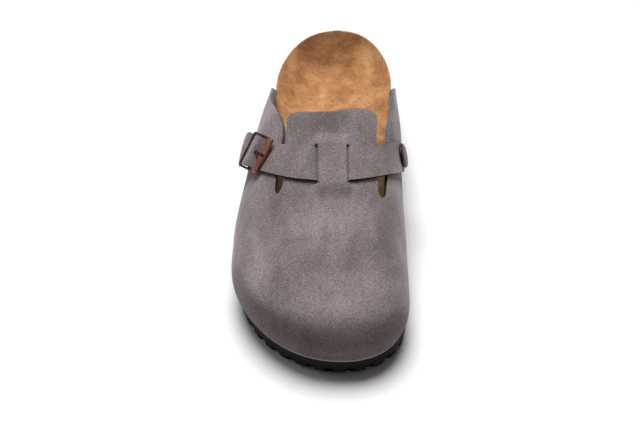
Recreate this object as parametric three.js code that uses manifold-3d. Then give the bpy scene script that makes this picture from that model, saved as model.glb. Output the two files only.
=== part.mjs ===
// Suede clog, right shoe, standing empty on its sole. Millimetres, +Z up.
// The toe points to -Y, the inner (medial) side is +X, and the origin is on the floor under the middle.

import * as THREE from 'three';
import { mergeVertices } from 'three/addons/utils/BufferGeometryUtils.js';
import Module from 'manifold-3d';

const wasm = await Module();
wasm.setup();

// Overall sizes of the last, the form that the foot fills
const lastLength = 275.5;
const ballWidth = 108;
const heelWidth = 79;
const instepHeight = 84;
const toeOffset = 9.6;
const tuckShare = 0.06;

// Round ends of the last's outline and of its top line, measured back from the tips
const lateralToeLength = 75;
const medialToeLength = 40;
const topToeLength = 38;
const heelRoundLength = 55;

// Sole
const soleThickness = 9;
const toeSpring = 4.5;
const toeSpringStart = 0.76;
const toeThicker = 1.6;
const heelBevel = 1.6;
const waistRise = 1.2;
const lugPitch = 12.5;
const lugNotchDepth = 2.6;
const soleMargin = 0.9;

// Footbed and its lining
const heelRimHeight = 38;
const insoleThickness = 1.5;
const footbedMargin = 0.35;
const footbedEase = 12;
const tipFlat = 0.1;

// Upper
const wall = 2.2;
const clearance = 0.3;
const quarterStart = 62;
const quarterCornerRadius = 9;
const slotEnd = 184;
const tongueTop = 124.5;
const tongueTilt = 3.3;
const tongueHollow = 9.9;
const tongueCornerLength = 5.5;
const slotGap = 4.2;
const lateralFlare = 2.2;
const medialFlare = 1.4;
const collarFlareStart = 64;
const collarFlareEnd = 138;
const slotRoundLength = 5;

// Strap and the bridge over it
const strapWidth = 23;
const strapTaper = 3.4;
const strapThickness = 1.8;
const strapCrest = 169;
const lateralSweep = 57.5;
const medialSweep = 48;
const bridgeWidth = 17.2;
const strapDip = 1.6;
const slitWidth = 0.5;
const slitOpening = 4.4;
const slitMargin = 2.8;
const slitCorner = 1.2;
const bridgeRamp = 10;
const bridgeShoulder = 3;

// Buckle, tab and stud
const buckleTurn = -0.46;
const buckleInsideWidth = 21;
const railWidth = 1.6;
const wideBarWidth = 5.4;
const outerBarWidth = 2.2;
const wideBarReach = 10.1;
const outerBarReach = 8.2;
const frameThickness = 1.7;
const frameTilt = 7;
const centreBarRadius = 0.95;
const tabWidth = 16;
const tabThickness = 1.2;
const tabLength = 17;
const tailLength = 19;
const prongWidth = 2;
const prongThickness = 1.1;
const studRadius = 7.8;
const studHeight = 2.6;
const studTurn = 0.625;

// Plan and profile of the last. at is a share of lastLength from the heel, lateral and medial are
// shares of the width there, which goes from heelWidth to ballWidth with ball, widest and top are
// shares of instepHeight, and square fills out the shoulders of the section.
const lastSections = [
  { at: 0.00, lateral: 0.512, medial: 0.487, ball: 0.0, widest: 0.45, top: 0.60, square: 0.04 },
  { at: 0.20, lateral: 0.512, medial: 0.484, ball: 0.0, widest: 0.45, top: 0.60, square: 0.04 },
  { at: 0.25, lateral: 0.514, medial: 0.474, ball: 0.1, widest: 0.45, top: 0.64, square: 0.04 },
  { at: 0.31, lateral: 0.515, medial: 0.460, ball: 0.3, widest: 0.44, top: 0.76, square: 0.03 },
  { at: 0.39, lateral: 0.508, medial: 0.430, ball: 0.6, widest: 0.43, top: 0.89, square: 0.02 },
  { at: 0.46, lateral: 0.492, medial: 0.390, ball: 0.9, widest: 0.41, top: 1.00, square: 0.02 },
  { at: 0.55, lateral: 0.505, medial: 0.378, ball: 1.0, widest: 0.38, top: 0.90, square: 0.04 },
  { at: 0.66, lateral: 0.555, medial: 0.383, ball: 1.0, widest: 0.33, top: 0.77, square: 0.07 },
  { at: 0.73, lateral: 0.570, medial: 0.386, ball: 1.0, widest: 0.29, top: 0.69, square: 0.10 },
  { at: 0.80, lateral: 0.591, medial: 0.385, ball: 1.0, widest: 0.265, top: 0.62, square: 0.13 },
  { at: 0.87, lateral: 0.593, medial: 0.384, ball: 1.0, widest: 0.25, top: 0.55, square: 0.15 },
  { at: 1.00, lateral: 0.579, medial: 0.384, ball: 1.0, widest: 0.235, top: 0.52, square: 0.16 },
];

// Top of the insole. centre, lateral and medial are heights as shares of heelRimHeight.
const footbedSections = [
  { at: 0.00, centre: 1.088, lateral: 1.09, medial: 1.09 },
  { at: 0.02, centre: 0.93, lateral: 1.08, medial: 1.08 },
  { at: 0.05, centre: 0.77, lateral: 1.05, medial: 1.05 },
  { at: 0.10, centre: 0.67, lateral: 1.015, medial: 1.015 },
  { at: 0.16, centre: 0.65, lateral: 1.00, medial: 1.00 },
  { at: 0.26, centre: 0.69, lateral: 0.97, medial: 1.00 },
  { at: 0.38, centre: 0.70, lateral: 0.79, medial: 0.95 },
  { at: 0.50, centre: 0.63, lateral: 0.66, medial: 0.82 },
  { at: 0.60, centre: 0.55, lateral: 0.60, medial: 0.68 },
  { at: 0.70, centre: 0.50, lateral: 0.57, medial: 0.60 },
  { at: 0.80, centre: 0.49, lateral: 0.55, medial: 0.56 },
  { at: 0.90, centre: 0.50, lateral: 0.53, medial: 0.53 },
  { at: 1.00, centre: 0.51, lateral: 0.51, medial: 0.51 },
];

// Edge of the quarters seen from above. at is a share of slotEnd, lateral and medial are the
// collar's distances from the centre line as shares of the half width there.
const collarLine = [
  { at: 0.30, lateral: 0.965, medial: 0.955 },
  { at: 0.40, lateral: 0.91, medial: 0.945 },
  { at: 0.54, lateral: 0.785, medial: 0.875 },
  { at: 0.66, lateral: 0.655, medial: 0.83 },
  { at: 0.76, lateral: 0.56, medial: 0.82 },
  { at: 0.87, lateral: 0.58, medial: 0.79 },
  { at: 1.00, lateral: 0.582, medial: 0.73 },
];

// Gap between collar and tongue, as shares of slotGap
const gapLine = [
  { at: 0.68, lateral: 1.0, medial: 1.65 },
  { at: 0.80, lateral: 0.5, medial: 1.7 },
  { at: 0.90, lateral: 1.3, medial: 1.35 },
  { at: 1.00, lateral: 0.85, medial: 0.95 },
];

// Share of the girth from ridge to feather edge that lies above the widest place
const shoulderTurn = 0.78;

const suedeColor = 0x80767a;
const suedeCutColor = 0x8b8f99;
const footbedColor = 0xb98a5c;
const liningColor = 0xc48f5e;
const outsoleColor = 0x1b1a1b;
const copperColor = 0x8a4a3c;
const gunmetalColor = 0x3b3634;

// Smooth value of one column of a table, by Hermite pieces between its rows
function tableValue(table, column, at) {
  const last = table.length - 1;
  if (at <= table[0].at) return table[0][column];
  if (at >= table[last].at) return table[last][column];
  let row = 0;
  while (at > table[row + 1].at) row += 1;
  const rowSlope = (i) => {
    const low = Math.max(i - 1, 0);
    const high = Math.min(i + 1, last);
    return (table[high][column] - table[low][column]) / (table[high].at - table[low].at);
  };
  const span = table[row + 1].at - table[row].at;
  const t = (at - table[row].at) / span;
  const startWeight = (1 + 2 * t) * (1 - t) ** 2;
  const endWeight = t * t * (3 - 2 * t);
  return startWeight * table[row][column] + endWeight * table[row + 1][column]
    + span * (t * (1 - t) ** 2 * rowSlope(row) - t * t * (1 - t) * rowSlope(row + 1));
}

function clamp01(value) {
  return Math.min(Math.max(value, 0), 1);
}

function smoothStep(value) {
  const t = clamp01(value);
  return t * t * (3 - 2 * t);
}

// Round closing of a width at one end, 1 away from the end and 0 at the tip
function roundEnd(distance, length, fullness) {
  const u = clamp01(1 - distance / length);
  return (1 - u ** 2) ** (1 / fullness);
}

// Centre line of the last, curving to the medial side at the toe
function centreLine(station) {
  return toeOffset * (station / lastLength) ** 2;
}

// Half width of the last from its centre line, side -1 lateral and 1 medial
function halfWidth(station, side) {
  const at = station / lastLength;
  const width = heelWidth + (ballWidth - heelWidth) * tableValue(lastSections, 'ball', at);
  const share = tableValue(lastSections, side < 0 ? 'lateral' : 'medial', at);
  const heel = roundEnd(station, heelRoundLength, 2.2);
  const toe = side < 0
    ? roundEnd(lastLength - station, lateralToeLength, 2)
    : roundEnd(lastLength - station, medialToeLength, 2.3);
  return share * width * heel * toe;
}

// Rise of the outsole at the toe
function springHeight(station) {
  const start = toeSpringStart * lastLength;
  return toeSpring * clamp01((station - start) / (lastLength - start)) ** 2;
}

// Height of the feather edge, where the upper meets the outsole
function featherHeight(station) {
  return soleThickness + springHeight(station);
}

function widestHeight(station) {
  return instepHeight * tableValue(lastSections, 'widest', station / lastLength);
}

function topHeight(station) {
  const low = widestHeight(station);
  const high = instepHeight * tableValue(lastSections, 'top', station / lastLength);
  return low + (high - low) * roundEnd(lastLength - station, topToeLength, 2);
}

// Across and up shares of a section's shoulder, angle 0 at the widest place and a quarter turn on top
function shoulder(angle, square) {
  const across = Math.cos(angle) * (1 + square * Math.sin(angle) ** 2);
  const up = Math.sin(angle) * (1 + square * Math.cos(angle) ** 2);
  return { across, up };
}

// Point of the last. turn is -1 at the lateral feather edge, 0 on the ridge, 1 at the medial edge.
function lastPoint(station, turn) {
  const side = turn < 0 ? -1 : 1;
  const amount = Math.abs(turn);
  const width = halfWidth(station, side);
  const low = widestHeight(station);
  let across;
  let height;
  if (amount < shoulderTurn) {
    const square = tableValue(lastSections, 'square', station / lastLength);
    const part = shoulder((1 - amount / shoulderTurn) * Math.PI / 2, square);
    across = width * part.across;
    height = low + (topHeight(station) - low) * part.up;
  } else {
    const drop = (amount - shoulderTurn) / (1 - shoulderTurn);
    const feather = featherHeight(station);
    across = width * (1 - tuckShare * drop ** 2);
    height = low + (feather - low) * drop;
  }
  return new THREE.Vector3(centreLine(station) + side * across, -station, height);
}

// Derivatives of the last along its length and round its girth
function lastSlopes(station, turn) {
  const reach = Math.min(station, lastLength - station);
  const step = Math.max(Math.min(0.4, reach / 4), 1e-4);
  const turnStep = 0.002;
  const along = lastPoint(station + step, turn).sub(lastPoint(station - step, turn));
  const round = lastPoint(station, turn + turnStep).sub(lastPoint(station, turn - turnStep));
  return { along: along.divideScalar(2 * step), round: round.divideScalar(2 * turnStep) };
}

// Outward normal of the last, level below the widest place so that the walls stand flat on the sole
function lastNormal(station, turn) {
  if (station > lastLength - 1e-3) return new THREE.Vector3(0, -1, 0);
  if (station < 1e-3) return new THREE.Vector3(0, 1, 0);
  const slopes = lastSlopes(station, turn);
  const normal = slopes.round.cross(slopes.along).normalize();
  const out = lastPoint(station, turn).sub(new THREE.Vector3(centreLine(station), -station, 0));
  if (normal.dot(out) < 0) normal.negate();
  if (Math.abs(turn) > shoulderTurn) normal.z = 0;
  return normal.normalize();
}

function offsetPoint(station, turn, offset) {
  return lastPoint(station, turn).addScaledVector(lastNormal(station, turn), offset);
}

// Turn of the place on the shoulder that lies a share of the half width from the centre line
function turnAtShare(station, side, share) {
  const square = tableValue(lastSections, 'square', station / lastLength);
  let low = 0;
  let high = Math.PI / 2;
  for (let i = 0; i < 30; i += 1) {
    const middle = (low + high) / 2;
    if (shoulder(middle, square).across > share) low = middle;
    else high = middle;
  }
  return side * shoulderTurn * (1 - low / (Math.PI / 2));
}

// Turn of the place on the ridge that lies a distance to one side of the centre line
function turnAtDistance(station, distance) {
  const side = distance < 0 ? -1 : 1;
  return turnAtShare(station, side, Math.abs(distance) / Math.max(halfWidth(station, side), 1e-6));
}

// Station and turn reached from a place on the last by a short move in space
function walk(station, turn, move) {
  const steps = 4;
  let here = { station, turn };
  for (let i = 0; i < steps; i += 1) {
    const { along, round } = lastSlopes(here.station, here.turn);
    const part = move.clone().divideScalar(steps);
    const aa = along.dot(along);
    const ar = along.dot(round);
    const rr = round.dot(round);
    const pa = part.dot(along);
    const pr = part.dot(round);
    const scale = aa * rr - ar * ar;
    here = {
      station: here.station + (pa * rr - pr * ar) / scale,
      turn: here.turn + (pr * aa - pa * ar) / scale,
    };
  }
  return here;
}

// A patch is a grid of surface places, each with its inner and outer offset
function gridPatch(rows, columns, place) {
  const corners = [];
  for (let i = 0; i <= rows; i += 1) {
    for (let j = 0; j <= columns; j += 1) corners.push(place(i / rows, j / columns));
  }
  const quads = [];
  for (let i = 0; i < rows; i += 1) {
    for (let j = 0; j < columns; j += 1) {
      const a = i * (columns + 1) + j;
      quads.push([a, a + 1, a + columns + 2, a + columns + 1]);
    }
  }
  return { corners, quads };
}

// Closed sheet from patches whose corners meet, with walls along every free edge
function sheetGeometry(patches) {
  const keys = new Map();
  const outer = [];
  const inner = [];
  const triangles = [];
  const indexOf = (corner) => {
    const point = offsetPoint(corner.station, corner.turn, corner.outer);
    const key = point.toArray().map((v) => Math.round(v * 200)).join(',');
    if (!keys.has(key)) {
      keys.set(key, outer.length);
      outer.push(point);
      inner.push(offsetPoint(corner.station, corner.turn, corner.inner));
    }
    return keys.get(key);
  };
  for (const patch of patches) {
    const index = patch.corners.map(indexOf);
    for (const [a, b, c, d] of patch.quads) {
      triangles.push([index[a], index[b], index[c]], [index[a], index[c], index[d]]);
    }
  }
  const real = triangles.filter(([a, b, c]) => a !== b && b !== c && c !== a);
  return shellGeometry(outer, inner, real);
}

// Closed solid between two surfaces with the same triangles
function shellGeometry(outer, inner, triangles) {
  const count = outer.length;
  const used = new Map();
  for (const [a, b, c] of triangles) {
    for (const [p, q] of [[a, b], [b, c], [c, a]]) used.set(`${p},${q}`, [p, q]);
  }
  const index = [];
  for (const [a, b, c] of triangles) index.push(a, b, c, a + count, c + count, b + count);
  for (const [p, q] of used.values()) {
    if (!used.has(`${q},${p}`)) index.push(q, p, p + count, q, p + count, q + count);
  }
  return closedGeometry([...outer, ...inner], index);
}

// Geometry from shared points, turned so that its faces point out
function closedGeometry(points, index) {
  const geometry = new THREE.BufferGeometry();
  const flat = points.flatMap((point) => point.toArray());
  geometry.setAttribute('position', new THREE.Float32BufferAttribute(flat, 3));
  geometry.setIndex(index);
  let volume = 0;
  for (let i = 0; i < index.length; i += 3) {
    const [a, b, c] = [0, 1, 2].map((k) => points[index[i + k]]);
    volume += a.dot(b.clone().cross(c));
  }
  if (volume < 0) {
    for (let i = 0; i < index.length; i += 3) {
      [index[i], index[i + 1]] = [index[i + 1], index[i]];
    }
    geometry.setIndex(index);
  }
  return geometry;
}

// Manifold solid of a geometry, with its shared vertices merged
function toSolid(geometry) {
  const bare = geometry.clone();
  bare.deleteAttribute('normal');
  bare.deleteAttribute('uv');
  const merged = mergeVertices(bare, 1e-4);
  const vertProperties = Float32Array.from(merged.attributes.position.array);
  const triVerts = Uint32Array.from(merged.index.array);
  return new wasm.Manifold(new wasm.Mesh({ numProp: 3, vertProperties, triVerts }));
}

function fromSolid(solid) {
  const mesh = solid.getMesh();
  const geometry = new THREE.BufferGeometry();
  geometry.setAttribute('position', new THREE.BufferAttribute(Float32Array.from(mesh.vertProperties), 3));
  geometry.setIndex(Array.from(mesh.triVerts));
  return geometry;
}

const bridgeRaise = wall + strapThickness + 2 * clearance - strapDip;
const slitStart = strapCrest - strapWidth / 2 - slitMargin;
const slitFinish = strapCrest + strapWidth / 2 + slitMargin;

// Extra lift of the leather over the strap, on the bridge only
function bridgeLift(station) {
  const away = Math.abs(station - strapCrest) - strapWidth / 2 - 0.5;
  return bridgeRaise * (1 - smoothStep(away / bridgeRamp));
}

// Share of a slit's width along its length, closed at both ends
function slitShare(station) {
  const inside = Math.min(station - slitStart, slitFinish - station);
  return roundEnd(Math.max(inside, 0), slitCorner, 2);
}

function upperCorner(station, turn, lift) {
  return { station, turn, inner: clearance + lift, outer: clearance + wall + lift };
}

// Turns of the collar and of the tongue's edge on one side, which meet in the slot's round end
function slotTurns(station, side) {
  const column = side < 0 ? 'lateral' : 'medial';
  const half = slotGap * tableValue(gapLine, column, station / slotEnd) / halfWidth(station, side) / 2;
  const middle = tableValue(collarLine, column, station / slotEnd) - half;
  const open = half * roundEnd(slotEnd - station, slotRoundLength, 2);
  return [turnAtShare(station, side, middle + open), turnAtShare(station, side, middle - open)];
}

function collarTurn(station, side) {
  return slotTurns(station, side)[0];
}

function tongueTurn(station, side) {
  return slotTurns(station, side)[1];
}

// How far the collar's edge stands out from the foot, v of the way up the quarter
function collarFlareLift(station, side, v) {
  const flare = side < 0 ? lateralFlare : medialFlare;
  const behindStrap = 1 - smoothStep((station - collarFlareEnd + 18) / 18);
  const fromRear = smoothStep((station - collarFlareStart) / 32);
  return flare * fromRear * behindStrap * smoothStep((v - 0.7) / 0.3);
}

// Turn of the line that goes on from the slot's end to the toe
function seamTurn(station, side) {
  const share = smoothStep((station - slotEnd) / (lastLength - slotEnd));
  const start = collarTurn(slotEnd, side);
  return start + (side * shoulderTurn * 0.5 - start) * share;
}

// Rear edge of a quarter, with its upper corner rounded
function quarterRear(share) {
  const fromTop = (1 - share) * (heelRimHeight - soleThickness);
  const u = clamp01(1 - fromTop / quarterCornerRadius);
  return quarterStart + quarterCornerRadius * (1 - Math.sqrt(1 - u ** 2));
}

// One quarter, from the feather edge to the collar
function quarterPatch(side) {
  return gridPatch(16, 8, (u, share) => {
    const v = side < 0 ? share : 1 - share;
    const rear = quarterRear(v);
    const station = rear + (slotEnd - rear) * u;
    const turn = side + (collarTurn(station, side) - side) * v;
    return upperCorner(station, turn, collarFlareLift(station, side, v));
  });
}

// Lines across the tongue: its lateral edge, the bridge's two sides and its medial edge
function tongueLines(station) {
  const half = bridgeWidth / 2;
  return [tongueTurn(station, -1), turnAtDistance(station, -half), turnAtDistance(station, half),
    tongueTurn(station, 1)];
}

// The same lines ahead of the slots, out to the feather edges
function vampLines(station) {
  const half = Math.min(bridgeWidth / 2, halfWidth(station, -1) * 0.2, halfWidth(station, 1) * 0.3);
  const ahead = [turnAtDistance(station, -half), turnAtDistance(station, half)];
  return [seamTurn(station, -1), ...ahead, seamTurn(station, 1)];
}

// Turn between two lines, moved off a slit's line
function betweenLines(lines, strip, v, station) {
  const start = lines[strip];
  const finish = lines[strip + 1];
  const turn = start + (finish - start) * v;
  const perTurn = lastSlopes(station, 0).round.length();
  const inner = slitWidth * slitShare(station) / perTurn;
  const outer = slitOpening * slitShare(station) / perTurn;
  let shift = 0;
  if (strip === 0) shift = -outer * v;
  if (strip === 1) shift = inner * (1 - 2 * v);
  if (strip === 2) shift = outer * (1 - v);
  return turn + shift;
}

// Lift of the leather: whole on the bridge, fading beside it and gone where the strap comes out
function leatherLift(station, turn, onBridge) {
  const raise = bridgeLift(station);
  if (onBridge) return raise;
  const half = bridgeWidth / 2;
  const across = Math.abs(lastPoint(station, turn).x - centreLine(station));
  const beside = 1 - smoothStep((across - half) / bridgeShoulder);
  const inside = Math.min(station - slitStart, slitFinish - station);
  return raise * beside * (1 - smoothStep(inside / (slitMargin - clearance)));
}

// Stations of a band's rows, with rows at both ends of the slits
function bandStations(start, finish, stops, rowsPerSpan) {
  const stations = [];
  const marks = [start, ...stops, finish];
  for (let i = 0; i < marks.length - 1; i += 1) {
    for (let k = 0; k < rowsPerSpan[i]; k += 1) {
      stations.push(marks[i] + (marks[i + 1] - marks[i]) * k / rowsPerSpan[i]);
    }
  }
  return [...stations, finish];
}

// Tongue with rounded top corners, its bridge strip and the two strips beside it
function tonguePatches() {
  const stops = [slitStart, slitStart + slitCorner, slitFinish - slitCorner, slitFinish];
  const stations = bandStations(tongueTop, slotEnd, stops, [5, 1, 7, 1, 1]);
  const columns = [4, 4, 4];
  return [0, 1, 2].map((strip) => gridPatch(stations.length - 1, columns[strip], (u, v) => {
    const nominal = stations[Math.round(u * (stations.length - 1))];
    const whole = (strip + v) / 3;
    const edge = clamp01((Math.abs(2 * whole - 1) - 1 / 3) * 1.5);
    const round = tongueCornerLength * (1 - Math.sqrt(1 - edge ** 5));
    const shape = round + tongueTilt * (1 - 2 * whole) + tongueHollow * (1 - (2 * whole - 1) ** 2);
    const fade = 1 - smoothStep((nominal - tongueTop) / (slitStart - tongueTop));
    const station = nominal + shape * fade;
    const turn = betweenLines(tongueLines(station), strip, v, station);
    return upperCorner(station, turn, leatherLift(station, turn, strip === 1));
  }));
}

// Vamp from the slots' ends to the toe, in five strips that share the tongue's and quarters' lines
function vampPatches() {
  const rows = 20;
  const columns = [8, 4, 4, 4, 8];
  return columns.map((count, strip) => gridPatch(rows, count, (u, v) => {
    const station = slotEnd + (lastLength - slotEnd) * Math.sin(u * Math.PI / 2);
    const lines = [-1, ...vampLines(station), 1];
    let turn = lines[strip] + (lines[strip + 1] - lines[strip]) * v;
    if (u === 0 && strip > 0 && strip < 4) {
      turn = betweenLines(tongueLines(station), strip - 1, v, station);
    }
    return upperCorner(station, turn, leatherLift(station, turn, strip === 2));
  }));
}

function upperGeometry() {
  return sheetGeometry([quarterPatch(-1), quarterPatch(1), ...tonguePatches(), ...vampPatches()]);
}

// Half width of a footbed section at a height, a little inside the last
function sideAcross(station, side, height) {
  const low = widestHeight(station);
  const feather = featherHeight(station);
  const drop = clamp01((low - height) / (low - feather));
  const width = halfWidth(station, side) * (1 - tuckShare * drop ** 2);
  return width - footbedMargin * Math.min(width / footbedEase, 1);
}

// Height of the insole's top. across goes from -1 at the lateral rim to 1 at the medial rim.
function insoleHeight(station, across) {
  const at = station / lastLength;
  const centre = tableValue(footbedSections, 'centre', at);
  const rim = tableValue(footbedSections, across < 0 ? 'lateral' : 'medial', at);
  return heelRimHeight * (centre + (rim - centre) * Math.abs(across) ** 3.2);
}

// Stations along the whole last, closer at both round ends, which stop at small flats on the tips
function wholeStations(count) {
  return Array.from({ length: count + 1 }, (_, i) => {
    const wave = (1 - Math.cos(Math.PI * i / count)) / 2;
    return tipFlat + (lastLength - 2 * tipFlat) * wave;
  });
}

// Point of the footbed's top, lowered by a depth
function footbedTop(station, across, depth) {
  const side = across < 0 ? -1 : 1;
  const rim = insoleHeight(station, side);
  const reach = sideAcross(station, side, rim - insoleThickness - clearance);
  const x = centreLine(station) + across * reach;
  return new THREE.Vector3(x, -station, insoleHeight(station, across) - depth);
}

// Triangles over a ring, seen along the shoe, in the order of its points
function ringCap(ring) {
  const contour = ring.map((point) => new THREE.Vector2(point.x, point.z));
  const forward = THREE.ShapeUtils.area(contour) > 0;
  const triangles = THREE.ShapeUtils.triangulateShape(contour, []);
  return triangles.map(([a, b, c]) => {
    const turned = THREE.ShapeUtils.area([contour[a], contour[b], contour[c]]) > 0;
    return turned === forward ? [a, b, c] : [a, c, b];
  });
}

// Solid lofted through closed rings, with a flat cap on the first and the last
function loftGeometry(rings) {
  const count = rings[0].length;
  const index = [];
  for (let i = 0; i < rings.length - 1; i += 1) {
    for (let j = 0; j < count; j += 1) {
      const a = i * count + j;
      const b = i * count + (j + 1) % count;
      index.push(a, b, b + count, a, b + count, a + count);
    }
  }
  const finish = (rings.length - 1) * count;
  for (const [a, b, c] of ringCap(rings[0])) index.push(a, c, b);
  for (const [a, b, c] of ringCap(rings[rings.length - 1])) index.push(finish + a, finish + b, finish + c);
  return closedGeometry(rings.flat(), index);
}

// Cork block: flat on the outsole, sides on the last and the hollow top under the lining
function footbedGeometry() {
  const across = 12;
  const sideSteps = 3;
  const depth = insoleThickness + clearance;
  const rings = wholeStations(26).map((station) => {
    const ring = [];
    for (let j = 0; j <= across; j += 1) ring.push(footbedTop(station, 2 * j / across - 1, depth));
    for (const side of [1, -1]) {
      const top = insoleHeight(station, side) - depth;
      const base = featherHeight(station);
      for (let k = 1; k <= sideSteps; k += 1) {
        const share = side > 0 ? k / sideSteps : 1 - k / sideSteps;
        if (side < 0 && k === sideSteps) continue;
        const height = top + (base - top) * share;
        const x = centreLine(station) + side * sideAcross(station, side, height);
        ring.push(new THREE.Vector3(x, -station, height));
      }
      if (side > 0) {
        const left = centreLine(station) - sideAcross(station, -1, base);
        ring.push(new THREE.Vector3(left, -station, base));
      }
    }
    return ring;
  });
  return loftGeometry(rings);
}

// Suede lining over the cork, of even thickness
function insoleGeometry() {
  const across = 12;
  const rings = wholeStations(26).map((station) => {
    const ring = [];
    for (let j = 0; j <= across; j += 1) {
      ring.push(footbedTop(station, 2 * j / across - 1, insoleThickness));
    }
    for (let j = across; j >= 0; j -= 1) ring.push(footbedTop(station, 2 * j / across - 1, 0));
    return ring;
  });
  return loftGeometry(rings);
}

// Outline of the outsole, level round the feather edge and a little proud of it at the heel
function soleOutline(count) {
  const outline = [];
  for (let i = 0; i < count; i += 1) {
    const angle = 2 * Math.PI * i / count;
    const station = lastLength * (1 - Math.cos(angle)) / 2;
    const turn = Math.sin(angle) < 0 ? -1 : 1;
    const upperCover = smoothStep((station - quarterStart + 20) / 20);
    const cover = soleMargin + (clearance + wall - soleMargin) * upperCover;
    outline.push(offsetPoint(station, turn, cover));
  }
  return outline;
}

// Underside of the outsole at a station: flat heel and ball, raised waist, toe spring, heel bevel
function underside(station) {
  const at = station / lastLength;
  const waist = waistRise * smoothStep((at - 0.32) / 0.06) * smoothStep((0.52 - at) / 0.06);
  const bevel = heelBevel * clamp01(1 - at / 0.09) ** 2;
  return Math.max(waist, bevel, springHeight(station) - toeThicker);
}

// Depth of the notches between the lugs, along the outline's length
function notchDepth(distance) {
  const phase = (distance / lugPitch) % 1;
  return lugNotchDepth * smoothStep((Math.abs(phase - 0.5) - 0.26) / 0.1);
}

// Evenly spaced places on a closed outline
function evenOutline(outline, count) {
  const closed = [...outline, outline[0]];
  const lengths = [0];
  for (let i = 1; i < closed.length; i += 1) {
    lengths.push(lengths[i - 1] + closed[i].distanceTo(closed[i - 1]));
  }
  const total = lengths[lengths.length - 1];
  const even = [];
  let row = 0;
  for (let i = 0; i < count; i += 1) {
    const distance = total * i / count;
    while (lengths[row + 1] < distance) row += 1;
    const share = (distance - lengths[row]) / (lengths[row + 1] - lengths[row]);
    even.push(closed[row].clone().lerp(closed[row + 1], share));
  }
  return even;
}

function outsoleGeometry() {
  const base = soleOutline(480);
  const closed = [...base, base[0]];
  let total = 0;
  for (let i = 1; i < closed.length; i += 1) total += closed[i].distanceTo(closed[i - 1]);
  const lugs = Math.round(total / lugPitch);
  const perLug = 4;
  const count = lugs * perLug;
  const outline = evenOutline(base, count);
  const inward = (i, amount) => {
    const before = outline[(i + count - 1) % count];
    const after = outline[(i + 1) % count];
    const along = after.clone().sub(before);
    const normal = new THREE.Vector3(along.y, -along.x, 0).normalize();
    const centre = new THREE.Vector3(0, -lastLength / 2, 0);
    if (normal.dot(centre.sub(outline[i])) < 0) normal.negate();
    return outline[i].clone().addScaledVector(normal, amount);
  };
  const levels = [
    { share: 1, inset: 0.6, notched: false },
    { share: 0.93, inset: 0, notched: false },
    { share: 0.42, inset: 0, notched: false },
    { share: 0.36, inset: 0.3, notched: true },
    { share: 0.06, inset: 0.4, notched: true },
    { share: 0, inset: 1.0, notched: true },
  ];
  const points = [];
  for (const level of levels) {
    for (let i = 0; i < count; i += 1) {
      const notch = level.notched ? notchDepth((i % perLug) / perLug * lugPitch) : 0;
      const point = inward(i, level.inset + notch);
      const station = clamp01(-point.y / lastLength) * lastLength;
      const top = featherHeight(station) - clearance;
      const low = underside(station);
      point.z = low + (top - low) * level.share;
      points.push(point);
    }
  }
  const index = [];
  for (let level = 0; level < levels.length - 1; level += 1) {
    for (let i = 0; i < count; i += 1) {
      const next = (i + 1) % count;
      const a = level * count + i;
      const b = level * count + next;
      index.push(a, b, b + count, a, b + count, a + count);
    }
  }
  return capLoop(points, index, count, levels.length);
}

// Caps over the first and last ring, in strips across the shoe so that they follow its length
function capLoop(points, index, count, ringCount) {
  const half = Math.floor(count / 2);
  const capRing = (first, flip) => {
    for (let i = 0; i < half; i += 1) {
      const a = first + i;
      const b = first + i + 1;
      const c = first + (count - i) % count;
      const d = first + (2 * count - i - 1) % count;
      const triangles = [[a, b, d], [a, d, c]];
      for (const [p, q, r] of triangles) {
        if (p === q || q === r || r === p) continue;
        if (flip) index.push(p, r, q);
        else index.push(p, q, r);
      }
    }
  };
  capRing(0, true);
  capRing((ringCount - 1) * count, false);
  return closedGeometry(points, index);
}

// Centre of the strap: highest station on the ridge, swept back down both sides
function strapStation(turn) {
  const sweep = turn < 0 ? lateralSweep : medialSweep;
  return strapCrest - sweep * (turn / shoulderTurn) ** 2;
}

// Half width of the strap, which narrows to both ends
function strapHalf(turn) {
  return (strapWidth - strapTaper * smoothStep((Math.abs(turn) - 0.1) / 0.35)) / 2;
}

// Frame on the strap's centre line: position, down direction, outward normal and across direction
function strapFrame(turn) {
  const station = strapStation(turn);
  const origin = offsetPoint(station, turn, clearance + wall);
  const ahead = offsetPoint(strapStation(turn - 0.01), turn - 0.01, clearance + wall);
  const normal = lastNormal(station, turn);
  const down = ahead.sub(origin);
  down.addScaledVector(normal, -down.dot(normal)).normalize();
  const across = new THREE.Vector3().crossVectors(normal, down).normalize();
  return { station, turn, origin, down, normal, across };
}

const buckleFrame = strapFrame(buckleTurn);

// Distance along the buckle's down direction from its centre bar
function fromCentreBar(point) {
  return point.clone().sub(buckleFrame.origin).dot(buckleFrame.down);
}

const eyeRadius = centreBarRadius + clearance + tabThickness;
const centreBarLift = 2 * clearance + eyeRadius;

// Lift of the strap's inner face above the upper: under the bridge, over the tab's eye and on the tab
function strapLift(station, turn) {
  const across = Math.abs(lastPoint(station, turn).x - centreLine(station));
  const out = smoothStep((across - bridgeWidth / 2 - clearance) / (slitOpening - 1.3));
  if (turn > 0 || out < 1) return clearance - strapDip * (1 - out);
  const distance = fromCentreBar(offsetPoint(station, turn, clearance + wall));
  const overEye = centreBarLift + eyeRadius + 2 * clearance;
  const onTab = 2 * clearance + tabThickness;
  const rest = distance > 0 ? onTab : clearance;
  const near = 1 - smoothStep((Math.abs(distance) - 1.6) / 6.2);
  return rest + (overEye - rest) * near;
}

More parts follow.
